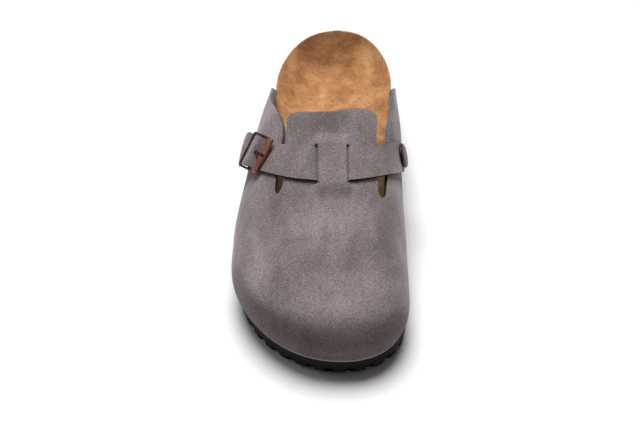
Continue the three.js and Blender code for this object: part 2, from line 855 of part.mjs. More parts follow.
// Strap from the stud's end to the tail, as one band of even width
function strapGeometry() {
  const path = [];
  const tailTurn = walk(buckleFrame.station, buckleFrame.turn,
    buckleFrame.down.clone().multiplyScalar(tailLength)).turn;
  const studFrame = strapFrame(studTurn);
  const endTurn = walk(studFrame.station, studFrame.turn,
    studFrame.down.clone().multiplyScalar(-studRadius - 1.6)).turn;
  const rows = 60;
  const columns = 3;
  for (let i = 0; i <= rows; i += 1) {
    const u = i / rows;
    path.push(strapFrame(endTurn + (tailTurn - endTurn) * u));
  }
  const ends = [path[0].origin, path[rows].origin];
  const patch = gridPatch(rows, columns, (u, v) => {
    const frame = path[Math.round(u * rows)];
    const reach = Math.min(...ends.map((end) => end.distanceTo(frame.origin)));
    const corner = 7;
    const narrow = Math.sqrt(1 - clamp01(1 - reach / corner) ** 2);
    const half = strapHalf(frame.turn) - 5 * (1 - narrow);
    const place = walk(frame.station, frame.turn,
      frame.across.clone().multiplyScalar(half * (2 * v - 1)));
    const lift = clearance + wall + strapLift(place.station, place.turn);
    return { ...place, inner: lift, outer: lift + strapThickness };
  });
  return sheetGeometry([patch]);
}

// Matrix of the buckle: x down the strap, y across it, z outward
function buckleMatrix() {
  const matrix = new THREE.Matrix4();
  matrix.makeBasis(buckleFrame.down, buckleFrame.across, buckleFrame.normal);
  matrix.setPosition(buckleFrame.origin);
  return matrix;
}

function roundedRectangle(shape, x0, y0, x1, y1, radius) {
  shape.moveTo(x0 + radius, y0);
  shape.lineTo(x1 - radius, y0);
  shape.absarc(x1 - radius, y0 + radius, radius, -Math.PI / 2, 0, false);
  shape.lineTo(x1, y1 - radius);
  shape.absarc(x1 - radius, y1 - radius, radius, 0, Math.PI / 2, false);
  shape.lineTo(x0 + radius, y1);
  shape.absarc(x0 + radius, y1 - radius, radius, Math.PI / 2, Math.PI, false);
  shape.lineTo(x0, y0 + radius);
  shape.absarc(x0 + radius, y0 + radius, radius, Math.PI, 3 * Math.PI / 2, false);
  return shape;
}

// Underside of the frame's plate, which the centre bar's ends run into
const frameBase = centreBarLift + centreBarRadius * 0.7;

// Three-bar frame: a plate with one window and the centre bar across it
function buckleFrameSolid() {
  const halfInside = buckleInsideWidth / 2;
  const halfOutside = halfInside + railWidth;
  const plate = roundedRectangle(new THREE.Shape(), -wideBarReach - wideBarWidth / 2, -halfOutside,
    outerBarReach + outerBarWidth / 2, halfOutside, 2);
  const window = roundedRectangle(new THREE.Path(), -wideBarReach + wideBarWidth / 2, -halfInside,
    outerBarReach - outerBarWidth / 2, halfInside, 0.8);
  plate.holes.push(window);
  const options = { depth: frameThickness, bevelEnabled: false, curveSegments: 4 };
  const plateGeometry = new THREE.ExtrudeGeometry(plate, options);
  plateGeometry.translate(0, 0, frameBase);
  plateGeometry.applyMatrix4(tiltMatrix());
  const bar = new THREE.CylinderGeometry(centreBarRadius, centreBarRadius, 2 * halfOutside - 0.6, 14);
  bar.translate(0, 0, centreBarLift);
  return toSolid(plateGeometry).add(toSolid(bar));
}

// Turn about the centre bar that lays the wide bar down on the strap
function tiltMatrix() {
  const pivot = new THREE.Vector3(0, 0, centreBarLift);
  const matrix = new THREE.Matrix4().makeTranslation(pivot.x, pivot.y, pivot.z);
  matrix.multiply(new THREE.Matrix4().makeRotationY(-THREE.MathUtils.degToRad(frameTilt)));
  return matrix.multiply(new THREE.Matrix4().makeTranslation(-pivot.x, -pivot.y, -pivot.z));
}

// Cylinder along the centre bar, as long as a piece is wide
function barCylinder(radius, length) {
  const cylinder = new THREE.CylinderGeometry(radius, radius, length, 20);
  cylinder.translate(0, 0, centreBarLift);
  return toSolid(cylinder);
}

// Leaf of the tab, lying on the quarter from the centre bar down
function tabLeaf() {
  return sheetGeometry([gridPatch(10, 4, (u, v) => {
    const start = 0.4;
    const reach = start + (tabLength - start) * u;
    const narrow = Math.sqrt(1 - clamp01(1 - (tabLength - reach) / 5) ** 2);
    const half = tabWidth / 2 - 4 * (1 - narrow);
    const move = buckleFrame.down.clone().multiplyScalar(reach)
      .addScaledVector(buckleFrame.across, half * (2 * v - 1));
    const place = walk(buckleFrame.station, buckleFrame.turn, move);
    const lift = wall + 2 * clearance;
    return { ...place, inner: lift, outer: lift + tabThickness };
  })]);
}

// Tab with an eye round the centre bar, cut for the prong
function tabSolid() {
  const inward = buckleMatrix().invert();
  const leaf = toSolid(tabLeaf().applyMatrix4(inward));
  const bore = barCylinder(centreBarRadius + clearance, tabWidth + 2);
  return barCylinder(eyeRadius, tabWidth).add(leaf).subtract(bore).subtract(prongSolid(clearance));
}

// Prong with its eye on the centre bar, grown by a margin where it is used as a cutter
function prongSolid(margin) {
  const eyeOuter = centreBarRadius + clearance + prongThickness;
  const strapTop = centreBarLift + eyeRadius + 2 * clearance + strapThickness;
  const rest = frameBase + frameThickness + clearance;
  const over = strapTop + clearance;
  const half = prongThickness / 2;
  const onFrame = (reach, height) => {
    const point = new THREE.Vector3(reach, 0, height).applyMatrix4(tiltMatrix());
    return new THREE.Vector2(point.x, point.z);
  };
  const centres = [
    new THREE.Vector2(-eyeOuter + half, centreBarLift),
    new THREE.Vector2(-eyeOuter + half - 0.3, over - 0.6),
    new THREE.Vector2(-eyeOuter - 1.6, over + half),
    onFrame(-wideBarReach + wideBarWidth / 2, rest + half + 0.3),
    onFrame(-wideBarReach - wideBarWidth / 2 + 0.4, rest + half),
  ];
  const curve = new THREE.SplineCurve(centres);
  const steps = 16;
  const left = [];
  const right = [];
  for (let i = 0; i <= steps; i += 1) {
    const point = curve.getPoint(i / steps);
    const tangent = curve.getTangent(i / steps);
    const normal = new THREE.Vector2(-tangent.y, tangent.x).multiplyScalar(half + margin);
    left.push(point.clone().add(normal));
    right.push(point.clone().sub(normal));
  }
  const arm = new THREE.Shape([...left, ...right.reverse()]);
  const eye = new THREE.Shape();
  eye.absarc(0, centreBarLift, eyeOuter + margin, 0, 2 * Math.PI, false);
  if (margin === 0) {
    const bore = new THREE.Path();
    bore.absarc(0, centreBarLift, centreBarRadius + clearance, 0, 2 * Math.PI, true);
    eye.holes.push(bore);
  }
  const depth = prongWidth + 2 * margin;
  const place = (shape) => {
    const geometry = new THREE.ExtrudeGeometry(shape, { depth, bevelEnabled: false, curveSegments: 10 });
    geometry.translate(0, 0, -depth / 2);
    geometry.rotateX(Math.PI / 2);
    return toSolid(geometry);
  };
  return place(arm).add(place(eye));
}

// Domed disc on the strap's medial end
function studGeometry() {
  const profile = [
    new THREE.Vector2(0, 0),
    new THREE.Vector2(studRadius - 0.6, 0),
    new THREE.Vector2(studRadius, 0.7),
    new THREE.Vector2(studRadius - 0.5, studHeight - 1.0),
    new THREE.Vector2(studRadius - 1.8, studHeight - 0.5),
    new THREE.Vector2(studRadius - 3.6, studHeight - 0.3),
    new THREE.Vector2(0, studHeight),
  ];
  const geometry = new THREE.LatheGeometry(profile, 24);
  geometry.rotateX(Math.PI / 2);
  const frame = strapFrame(studTurn);
  const matrix = new THREE.Matrix4();
  matrix.makeBasis(frame.down, frame.across, frame.normal);
  const lift = strapLift(frame.station, frame.turn) + strapThickness + clearance;
  matrix.setPosition(frame.origin.clone().addScaledVector(frame.normal, lift));
  return geometry.applyMatrix4(matrix);
}

function piece(name, geometry, color, roughness, metalness) {
  const material = new THREE.MeshStandardMaterial({ color, roughness, metalness });
  const mesh = new THREE.Mesh(geometry, material);
  mesh.name = name;
  return mesh;
}

const inBuckle = (solid) => fromSolid(solid).applyMatrix4(buckleMatrix());
const prongCutter = toSolid(inBuckle(prongSolid(clearance)));
const strapSolid = toSolid(strapGeometry()).subtract(prongCutter);

const clog = new THREE.Group();
clog.add(
  piece('outsole', outsoleGeometry(), outsoleColor, 0.85, 0),
  piece('footbed', footbedGeometry(), footbedColor, 0.9, 0),
  piece('insole', insoleGeometry(), liningColor, 0.95, 0),
  piece('upper', upperGeometry(), suedeColor, 0.95, 0),
  piece('strap', fromSolid(strapSolid), suedeColor, 0.95, 0),
  piece('strap_stud', studGeometry(), gunmetalColor, 0.35, 1),
  piece('buckle_frame', inBuckle(buckleFrameSolid()), copperColor, 0.35, 1),
  piece('buckle_prong', inBuckle(prongSolid(0)), copperColor, 0.35, 1),
  piece('buckle_tab', inBuckle(tabSolid()), suedeCutColor, 0.95, 0),
);

// Origin on the floor under the middle of the shoe
const box = new THREE.Box3().setFromObject(clog);
clog.position.set(-(box.min.x + box.max.x) / 2, -(box.min.y + box.max.y) / 2, -box.min.z);

export default clog;
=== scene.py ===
import math
import bpy
import bmesh
import numpy as np
from mathutils import Matrix, Vector


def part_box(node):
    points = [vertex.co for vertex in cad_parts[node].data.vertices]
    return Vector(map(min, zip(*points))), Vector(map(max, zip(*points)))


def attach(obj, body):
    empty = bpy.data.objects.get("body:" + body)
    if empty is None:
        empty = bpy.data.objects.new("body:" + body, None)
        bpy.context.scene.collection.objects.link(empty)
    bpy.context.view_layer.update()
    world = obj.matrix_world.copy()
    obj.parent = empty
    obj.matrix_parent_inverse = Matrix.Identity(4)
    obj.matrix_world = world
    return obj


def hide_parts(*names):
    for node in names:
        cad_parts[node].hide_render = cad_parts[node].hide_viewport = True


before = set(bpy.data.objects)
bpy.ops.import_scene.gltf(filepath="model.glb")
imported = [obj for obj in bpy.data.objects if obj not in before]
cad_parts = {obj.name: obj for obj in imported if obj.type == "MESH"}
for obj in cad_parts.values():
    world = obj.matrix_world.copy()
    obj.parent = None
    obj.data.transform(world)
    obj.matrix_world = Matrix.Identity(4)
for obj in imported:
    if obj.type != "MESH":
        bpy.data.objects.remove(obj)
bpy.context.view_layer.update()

np.random.seed(7)
millimetre = 0.001

# Sizes of the last, in millimetres, the same as the solids follow
last = {
    "length": 275.5,
    "ballWidth": 108,
    "heelWidth": 79,
    "instepHeight": 84,
    "toeOffset": 9.6,
    "tuckShare": 0.06,
    "lateralToeLength": 75,
    "medialToeLength": 40,
    "topToeLength": 38,
    "heelRoundLength": 55,
    "heelRoundPower": 2.2,
    "medialToePower": 2.3,
    "shoulderTurn": 0.78,
}

sole = {
    "thickness": 9,
    "toeSpring": 4.5,
    "springStart": 0.76,
    "toeThicker": 1.6,
    "heelBevel": 1.6,
    "heelBevelEnd": 0.09,
    "waistRise": 1.2,
    "waistStart": 0.32,
    "waistEnd": 0.52,
    "waistRamp": 0.06,
    "lugPitch": 12.5,
    "notchDepth": 2.1,
    "notchFrom": 0.26,
    "notchOver": 0.1,
    "margin": 0.9,
    "coverRamp": 20,
    "treadDepth": 1.8,
}

fit = {
    "clearance": 0.3,
    "wall": 2.2,
    "heelRim": 38,
    "insoleThickness": 1.5,
    "footbedMargin": 0.35,
    "footbedEase": 12,
    "footbedPower": 3.2,
    "tipFlat": 0.1,
}
surfaceLift = fit["clearance"] + fit["wall"]

# Sizes of the leather parts; corners, cut edges, slits and the strap's tail are finer than the solids'
quarter = {"start": 62, "cornerRadius": 9, "slotEnd": 184, "slotGap": 4.2, "slotRound": 5,
           "lateralFlare": 2.2, "medialFlare": 1.4, "flareStart": 64, "flareGrow": 32, "flareEnd": 138,
           "flareFade": 18, "flareFrom": 0.7, "flareOver": 0.3, "edgeThicker": 1.3, "edgeEnd": 150,
           "edgeFade": 8, "edgeFrom": 0.86, "edgeOver": 0.12}
tongue = {"top": 124.5, "tilt": 3.3, "hollow": 9.9, "cornerLength": 8.5, "cornerPower": 3.8}
strap = {"width": 23, "taper": 3.4, "taperFrom": 0.1, "taperOver": 0.35, "thickness": 1.8, "crest": 169,
         "lateralSweep": 57.5, "medialSweep": 48, "dip": 1.6, "tailLength": 19, "tailRise": 3.0,
         "tailRamp": 9, "tipRound": 7, "tipNarrow": 5}
bridge = {"width": 17.2, "slitWidth": 0.5, "slitOpening": 1.0, "slitDive": 1.3, "slitMargin": 1.5,
          "slitCorner": 1.2, "slitLine": 0.06, "slitEase": 0.8, "slitRamp": 1.4, "rampFrom": 0.5,
          "ramp": 10, "shoulder": 3}


# A table as a list of rows, with the names of its columns first
def table(names, *rows):
    return [dict(zip(names.split(), row)) for row in rows]


# Plan and profile of the last: at is a share of its length, lateral and medial of the width there,
# widest and top of the instep height
lastRows = table(
    "at lateral medial ball widest top square",
    (0.00, 0.512, 0.487, 0.0, 0.45, 0.60, 0.04),
    (0.20, 0.512, 0.484, 0.0, 0.45, 0.60, 0.04),
    (0.25, 0.514, 0.474, 0.1, 0.45, 0.64, 0.04),
    (0.31, 0.515, 0.460, 0.3, 0.44, 0.76, 0.03),
    (0.39, 0.508, 0.430, 0.6, 0.43, 0.89, 0.02),
    (0.46, 0.492, 0.390, 0.9, 0.41, 1.00, 0.02),
    (0.55, 0.505, 0.378, 1.0, 0.38, 0.90, 0.04),
    (0.66, 0.555, 0.383, 1.0, 0.33, 0.77, 0.07),
    (0.73, 0.570, 0.386, 1.0, 0.29, 0.69, 0.10),
    (0.80, 0.591, 0.385, 1.0, 0.265, 0.62, 0.13),
    (0.87, 0.593, 0.384, 1.0, 0.25, 0.55, 0.15),
    (1.00, 0.579, 0.384, 1.0, 0.235, 0.52, 0.16),
)

# Top of the insole, as shares of the heel rim's height
footbedRows = table(
    "at centre lateral medial",
    (0.00, 1.088, 1.09, 1.09),
    (0.02, 0.93, 1.08, 1.08),
    (0.05, 0.77, 1.05, 1.05),
    (0.10, 0.67, 1.015, 1.015),
    (0.16, 0.65, 1.00, 1.00),
    (0.26, 0.69, 0.97, 1.00),
    (0.38, 0.70, 0.79, 0.95),
    (0.50, 0.63, 0.66, 0.82),
    (0.60, 0.55, 0.60, 0.68),
    (0.70, 0.50, 0.57, 0.60),
    (0.80, 0.49, 0.55, 0.56),
    (0.90, 0.50, 0.53, 0.53),
    (1.00, 0.51, 0.51, 0.51),
)

# Collar's distance from the centre line, as a share of the half width; at is a share of the slot's end
collarRows = table(
    "at lateral medial",
    (0.30, 0.965, 0.955),
    (0.40, 0.91, 0.945),
    (0.54, 0.785, 0.875),
    (0.66, 0.655, 0.83),
    (0.76, 0.56, 0.82),
    (0.87, 0.58, 0.79),
    (1.00, 0.582, 0.73),
)

# Gap between collar and tongue, as shares of the slot's gap
gapRows = table(
    "at lateral medial",
    (0.68, 1.0, 1.65),
    (0.80, 0.5, 1.7),
    (0.90, 1.3, 1.35),
    (1.00, 0.85, 0.95),
)


def rowValue(rows, name, at):
    xs = np.array([row["at"] for row in rows], dtype=float)
    ys = np.array([row[name] for row in rows], dtype=float)
    high = np.minimum(np.arange(len(xs)) + 1, len(xs) - 1)
    low = np.maximum(np.arange(len(xs)) - 1, 0)
    slopes = (ys[high] - ys[low]) / (xs[high] - xs[low])
    at = np.clip(at, xs[0], xs[-1])
    row = np.clip(np.searchsorted(xs, at, side="right") - 1, 0, len(xs) - 2)
    span = xs[row + 1] - xs[row]
    t = (at - xs[row]) / span
    startWeight = (1 + 2 * t) * (1 - t) ** 2
    endWeight = t * t * (3 - 2 * t)
    bend = span * (t * (1 - t) ** 2 * slopes[row] - t * t * (1 - t) * slopes[row + 1])
    return startWeight * ys[row] + endWeight * ys[row + 1] + bend


def smoothStep(value):
    t = np.clip(value, 0, 1)
    return t * t * (3 - 2 * t)


# Rises smoothly from 0 to 1 over a length, from start on
def rise(value, start, over):
    return smoothStep((value - start) / over)


# Rises from 0 at the end to 1 over a length, like the quarter of a circle where fullness is 2
def roundEnd(distance, length, fullness=2):
    u = np.clip(1 - distance / length, 0, 1)
    return (1 - u ** 2) ** (1 / fullness)


def centreLine(station):
    return last["toeOffset"] * (station / last["length"]) ** 2


def bySide(side, lateral, medial):
    return np.where(np.asarray(side) < 0, lateral, medial)


def lastValue(name, station):
    return rowValue(lastRows, name, station / last["length"])


def halfWidth(station, side):
    width = last["heelWidth"] + (last["ballWidth"] - last["heelWidth"]) * lastValue("ball", station)
    share = bySide(side, lastValue("lateral", station), lastValue("medial", station))
    left = last["length"] - station
    toe = bySide(side, roundEnd(left, last["lateralToeLength"]),
                 roundEnd(left, last["medialToeLength"], last["medialToePower"]))
    return share * width * roundEnd(station, last["heelRoundLength"], last["heelRoundPower"]) * toe


def springHeight(station):
    start = sole["springStart"] * last["length"]
    return sole["toeSpring"] * np.clip((station - start) / (last["length"] - start), 0, 1) ** 2


def featherHeight(station):
    return sole["thickness"] + springHeight(station)


def widestHeight(station):
    return last["instepHeight"] * lastValue("widest", station)


def topHeight(station):
    low = widestHeight(station)
    high = last["instepHeight"] * lastValue("top", station)
    return low + (high - low) * roundEnd(last["length"] - station, last["topToeLength"])


def shoulder(angle, square):
    across = np.cos(angle) * (1 + square * np.sin(angle) ** 2)
    up = np.sin(angle) * (1 + square * np.cos(angle) ** 2)
    return across, up


# A place on the last: station runs from the heel's back, turn from -1 at the lateral feather edge
# over 0 on the ridge to 1 at the medial feather edge
def lastPoint(station, turn):
    station, turn = np.broadcast_arrays(np.asarray(station, dtype=float), np.asarray(turn, dtype=float))
    side = np.where(turn < 0, -1, 1)
    amount = np.abs(turn)
    width = halfWidth(station, side)
    low = widestHeight(station)
    square = lastValue("square", station)
    above = np.clip(1 - amount / last["shoulderTurn"], 0, 1) * math.pi / 2
    across, up = shoulder(above, square)
    drop = np.clip((amount - last["shoulderTurn"]) / (1 - last["shoulderTurn"]), 0, None)
    onShoulder = amount < last["shoulderTurn"]
    x = np.where(onShoulder, width * across, width * (1 - last["tuckShare"] * drop ** 2))
    z = low + np.where(onShoulder, (topHeight(station) - low) * up, (featherHeight(station) - low) * drop)
    return np.stack([centreLine(station) + side * x, -station, z], axis=-1)


def lastSlopes(station, turn):
    reach = np.minimum(station, last["length"] - station)
    step = np.maximum(np.minimum(0.4, reach / 4), 1e-4)
    turnStep = 0.002
    along = (lastPoint(station + step, turn) - lastPoint(station - step, turn)) / (2 * step)[..., None]
    around = (lastPoint(station, turn + turnStep) - lastPoint(station, turn - turnStep)) / (2 * turnStep)
    return along, around


def unit(vectors):
    return vectors / np.maximum(np.linalg.norm(vectors, axis=-1, keepdims=True), 1e-9)


def lastNormal(station, turn):
    station, turn = np.broadcast_arrays(np.asarray(station, dtype=float), np.asarray(turn, dtype=float))
    along, around = lastSlopes(station, turn)
    normal = unit(np.cross(around, along))
    out = lastPoint(station, turn) - np.stack([centreLine(station), -station, 0 * station], axis=-1)
    normal = np.where((normal * out).sum(-1, keepdims=True) < 0, -normal, normal)
    normal[..., 2] = np.where(np.abs(turn) > last["shoulderTurn"], 0, normal[..., 2])
    normal[station > last["length"] - 1e-3] = (0, -1, 0)
    normal[station < 1e-3] = (0, 1, 0)
    return unit(normal)


def offsetPoint(station, turn, offset):
    return lastPoint(station, turn) + lastNormal(station, turn) * np.asarray(offset)[..., None]


def turnAtShare(station, side, share):
    square = lastValue("square", station)
    low = np.zeros_like(square)
    high = np.full_like(square, math.pi / 2)
    for _ in range(36):
        middle = (low + high) / 2
        wide = shoulder(middle, square)[0] > share
        low = np.where(wide, middle, low)
        high = np.where(wide, high, middle)
    return side * last["shoulderTurn"] * (1 - low / (math.pi / 2))


def turnAtDistance(station, distance):
    side = np.where(np.asarray(distance) < 0, -1, 1)
    return turnAtShare(station, side, np.abs(distance) / np.maximum(halfWidth(station, side), 1e-6))


def walk(station, turn, move):
    part = move / 4
    for _ in range(4):
        along, around = lastSlopes(station, turn)
        aa, ar, rr = (along * along).sum(-1), (along * around).sum(-1), (around * around).sum(-1)
        pa, pr = (part * along).sum(-1), (part * around).sum(-1)
        scale = aa * rr - ar * ar
        station = station + (pa * rr - pr * ar) / scale
        turn = turn + (pr * aa - pa * ar) / scale
    return station, turn


# The solids' frame has its origin under the middle of the shoe: two nodes give the shift to it
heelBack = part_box("footbed")[1][1] / millimetre + fit["tipFlat"]
stationGrid = np.linspace(0.5, last["length"] - 0.5, 1200)
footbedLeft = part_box("footbed")[0][0] / millimetre
ownLeft = (centreLine(stationGrid) - halfWidth(stationGrid, -1)).min() + fit["footbedMargin"]
toFrame = np.array([footbedLeft - ownLeft, heelBack, 0.0])
print("stage: frame shift in mm", [round(float(v), 2) for v in toFrame])


def inMetres(points):
    return (np.asarray(points) + toFrame) * millimetre


# Shader helpers: a value wraps a socket, so that sums and products of values add Math nodes
class Value:
    def __init__(self, maker, socket):
        self.maker = maker
        self.socket = socket

    def math(self, operation, first, second):
        return self.maker.node("ShaderNodeMath", {"operation": operation}, {0: first, 1: second})

    def __add__(self, other):
        return self.math("ADD", self, other)

    def __radd__(self, other):
        return self.math("ADD", other, self)

    def __sub__(self, other):
        return self.math("SUBTRACT", self, other)

    def __rsub__(self, other):
        return self.math("SUBTRACT", other, self)

    def __mul__(self, other):
        return self.math("MULTIPLY", self, other)

    def __rmul__(self, other):
        return self.math("MULTIPLY", other, self)


class Maker:
    def __init__(self, name):
        self.material = bpy.data.materials.new(name)
        self.material.use_nodes = True
        self.tree = self.material.node_tree
        self.shader = self.tree.nodes["Principled BSDF"]

    def node(self, kind, settings=None, inputs=None, output=0):
        node = self.tree.nodes.new(kind)
        for name, setting in (settings or {}).items():
            if name == "stops":
                ramp = node.color_ramp
                while len(ramp.elements) < len(setting):
                    ramp.elements.new(0.5)
                for element, (position, color) in zip(ramp.elements, setting):
                    element.position = position
                    element.color = (*color, 1)
            else:
                setattr(node, name, setting)
        for key, value in (inputs or {}).items():
            self.feed(node.inputs[key], value)
        return Value(self, node.outputs[output])

    def feed(self, socket, value):
        if isinstance(value, Value):
            self.tree.links.new(value.socket, socket)
        elif isinstance(value, tuple) and len(value) == 3 and socket.type == "RGBA":
            socket.default_value = (*value, 1)
        else:
            socket.default_value = value

    def place(self, stretch=(1, 1, 1)):
        coordinates = self.node("ShaderNodeTexCoord", output="Object")
        return self.node("ShaderNodeMapping", {}, {"Vector": coordinates, "Scale": stretch})

    def noise(self, scale, detail=3, rough=0.55, warp=0.0, at=None):
        inputs = {"Vector": at or self.place(), "Scale": scale, "Detail": detail, "Roughness": rough,
                  "Distortion": warp}
        return self.node("ShaderNodeTexNoise", {}, inputs, "Fac")

    def spread(self, value, low, high):
        settings = {"interpolation_type": "SMOOTHSTEP"}
        inputs = {"Value": value, "From Min": low, "From Max": high}
        return self.node("ShaderNodeMapRange", settings, inputs)

    def mix(self, factor, first, second, way="MIX"):
        settings = {"data_type": "RGBA", "blend_type": way}
        return self.node("ShaderNodeMix", settings, {0: factor, 6: first, 7: second}, 2)

    def bump(self, height, strength, distance):
        inputs = {"Height": height, "Strength": strength, "Distance": distance}
        return self.node("ShaderNodeBump", {}, inputs, "Normal")

    def painted(self, name):
        return self.node("ShaderNodeAttribute", {"attribute_name": name}, output="Fac")

    def finish(self, sockets):
        for name, value in sockets.items():
            self.feed(self.shader.inputs[name], value)
        return self.material


# Suede of the upper, the strap and the tab
suedeLook = {
    "dark": (0.132, 0.107, 0.107),
    "light": (0.285, 0.242, 0.244),
    "speckDark": (0.21, 0.21, 0.21),
    "speckLight": (0.83, 0.81, 0.82),
    "speckShare": 0.75,
    "toeDark": (0.54, 0.505, 0.49),
    "patchScale": 17,
    "strokeScale": 70,
    "grainScale": 1250,
    "nap": 0.00035,
}


def makeSuede(look):
    maker = Maker("napped suede")
    patches = maker.noise(look["patchScale"], 4, 0.6, 0.8)
    strokes = maker.noise(look["strokeScale"], 5, 0.62, 0.5, maker.place((1, 0.55, 1)))
    grain = maker.noise(look["grainScale"], 3, 0.7)
    fibre = maker.noise(look["grainScale"] * 2.3, 2, 0.6)
    # Painted patches add tone, partly painted highlights and painted shade; further on, painted shade
    # darkens the toe's front
    tone = patches * 0.28 + strokes * 0.46 + grain * 0.26 + maker.painted("blot") * 0.30
    cloudy = maker.mix(maker.spread(tone, 0.28, 0.72), look["dark"], look["light"])
    speckle = maker.spread(grain * 0.55 + fibre * 0.45, 0.34, 0.66)
    specks = maker.mix(speckle, look["speckDark"], look["speckLight"])
    speckled = maker.mix(look["speckShare"], cloudy, specks, "OVERLAY")
    color = maker.mix(maker.painted("toeShade"), speckled, look["toeDark"], "MULTIPLY")
    normal = maker.bump(strokes * 0.35 + grain * 0.8 + fibre * 0.35, 0.55, look["nap"])
    return maker.finish({"Base Color": color, "Roughness": 0.92, "Normal": normal,
                         "Specular IOR Level": 0.12, "Sheen Weight": 0.32, "Sheen Roughness": 0.45,
                         "Sheen Tint": (0.86, 0.82, 0.84)})


edgeLook = {"dark": (0.060, 0.066, 0.074), "light": (0.195, 0.208, 0.226), "slot": (0.16, 0.15, 0.14),
            "grainScale": 700}
# The strap's cut edges are darker than the other cut edges: painted shade
shadedStrapEdgeLook = {**edgeLook, "dark": (0.020, 0.017, 0.017), "light": (0.075, 0.066, 0.068)}


def makeCutEdge(name, look):
    maker = Maker(name)
    fibre = maker.noise(look["grainScale"], 4, 0.7)
    color = maker.mix(maker.spread(fibre, 0.32, 0.68), look["dark"], look["light"])
    # Painted shade darkens the cut edges in the slots beside the tongue
    color = maker.mix(maker.painted("inSlot"), color, look["slot"], "MULTIPLY")
    return maker.finish({"Base Color": color, "Roughness": 0.95, "Normal": maker.bump(fibre, 0.5, 0.0003),
                         "Specular IOR Level": 0.1})


liningLook = {
    "dark": (0.215, 0.092, 0.033),
    "body": (0.405, 0.190, 0.077),
    "light": (0.600, 0.335, 0.155),
    "covered": (0.30, 0.34, 0.30),
    "patchScale": 24,
    "grainScale": 650,
}


def makeLining(look):
    maker = Maker("tan suede lining")
    patches = maker.noise(look["patchScale"], 5, 0.65, 1.1)
    blots = maker.noise(look["patchScale"] * 3.4, 5, 0.65, 0.6)
    grain = maker.noise(look["grainScale"], 4, 0.7)
    tone = patches * 0.34 + blots * 0.42 + grain * 0.24
    # Painted patches add the lining's tone and a painted highlight on the heel cup's wall; further on,
    # painted shade darkens the lining under the vamp
    tone = tone + maker.painted("blot") * 0.16 + maker.painted("rim") * 0.05
    stops = [(0.37, look["dark"]), (0.5, look["body"]), (0.64, look["light"])]
    color = maker.node("ShaderNodeValToRGB", {"stops": stops}, {"Fac": tone})
    # Painted shade darkens the lining under the tongue and vamp, where little light reaches
    color = maker.mix(maker.painted("covered"), color, look["covered"], "MULTIPLY")
    normal = maker.bump(grain * 0.8 + blots * 0.4, 0.45, 0.0003)
    return maker.finish({"Base Color": color, "Roughness": 0.9, "Normal": normal,
                         "Specular IOR Level": 0.15, "Sheen Weight": 0.3, "Sheen Roughness": 0.4,
                         "Sheen Tint": (0.95, 0.8, 0.62)})


corkLook = {"body": (0.36, 0.205, 0.105), "light": (0.50, 0.315, 0.175), "dark": (0.085, 0.045, 0.022),
            "grainScale": 420}


def makeCork(look):
    maker = Maker("sealed cork")
    inputs = {"Vector": maker.place((1, 1, 1.5)), "Scale": look["grainScale"], "Randomness": 1.0}
    cells = maker.node("ShaderNodeTexVoronoi", {}, inputs, "Color")
    cellTone = maker.node("ShaderNodeSeparateColor", {}, {"Color": cells}, "Red")
    edges = maker.node("ShaderNodeTexVoronoi", {"feature": "DISTANCE_TO_EDGE"}, inputs, "Distance")
    veins = (1 - maker.spread(edges, 0.02, 0.12)) * 0.55
    specks = maker.spread(maker.noise(260, 4, 0.7), 0.60, 0.68) * 0.85
    veined = maker.mix(veins, maker.mix(cellTone, look["body"], look["light"]), look["dark"])
    color = maker.mix(specks, veined, look["dark"])
    normal = maker.bump(edges + maker.noise(180, 3, 0.6) * 0.4, 0.35, 0.0004)
    return maker.finish({"Base Color": color, "Roughness": 0.55, "Normal": normal,
                         "Specular IOR Level": 0.4, "Coat Weight": 0.18, "Coat Roughness": 0.35})


foamLook = {"dark": (0.0022, 0.0022, 0.0020), "light": (0.0085, 0.0080, 0.0072)}


def makeFoamRubber(look):
    maker = Maker("black foam rubber")
    dust = maker.noise(120, 5, 0.6)
    color = maker.mix(maker.spread(dust, 0.35, 0.7), look["dark"], look["light"])
    normal = maker.bump(maker.noise(1100, 3, 0.6) + dust * 0.3, 0.35, 0.0003)
    return maker.finish({"Base Color": color, "Roughness": maker.spread(dust, 0.2, 0.9) * 0.2 + 0.66,
                         "Normal": normal, "Specular IOR Level": 0.2})


# The buckle frame is one metal: the copper colour on its wide bar is a painted reflection of the light from
# above, and the dark metal on its rails, outer bar and centre bar is painted shade
metalLooks = {
    "antiqued copper": {"body": (0.50, 0.205, 0.165), "tarnish": (0.15, 0.058, 0.048),
                        "roughness": 0.24, "metallic": 1.0},
    "dark copper": {"body": (0.030, 0.018, 0.015), "tarnish": (0.110, 0.066, 0.052),
                    "roughness": 0.26, "metallic": 0.6},
    "dark antiqued metal": {"body": (0.055, 0.044, 0.040), "tarnish": (0.16, 0.125, 0.11),
                            "roughness": 0.22, "metallic": 1.0},
}


def makeMetal(name):
    look = metalLooks[name]
    maker = Maker(name)
    tarnish = maker.spread(maker.noise(130, 3, 0.5, 0.3), 0.40, 0.78)
    brushed = maker.noise(900, 3, 0.6, 0.0, maker.place((1, 0.12, 1)))
    return maker.finish({"Base Color": maker.mix(tarnish, look["body"], look["tarnish"]),
                         "Metallic": look["metallic"], "Roughness": brushed * 0.25 + look["roughness"],
                         "Normal": maker.bump(brushed, 0.06, 0.00004), "Specular IOR Level": 0.3})


suede = makeSuede(suedeLook)
cutEdge = makeCutEdge("cut suede edge", edgeLook)
shadedStrapEdge = makeCutEdge("dark strap edge", shadedStrapEdgeLook)
lining = makeLining(liningLook)
cork = makeCork(corkLook)
foamRubber = makeFoamRubber(foamLook)
copper, studMetal, gunmetal = [makeMetal(name) for name in metalLooks]
print("stage: materials made")


# Meshes
def addObject(name, mesh):
    piece = bpy.data.objects.new(name, mesh)
    bpy.context.scene.collection.objects.link(piece)
    return piece


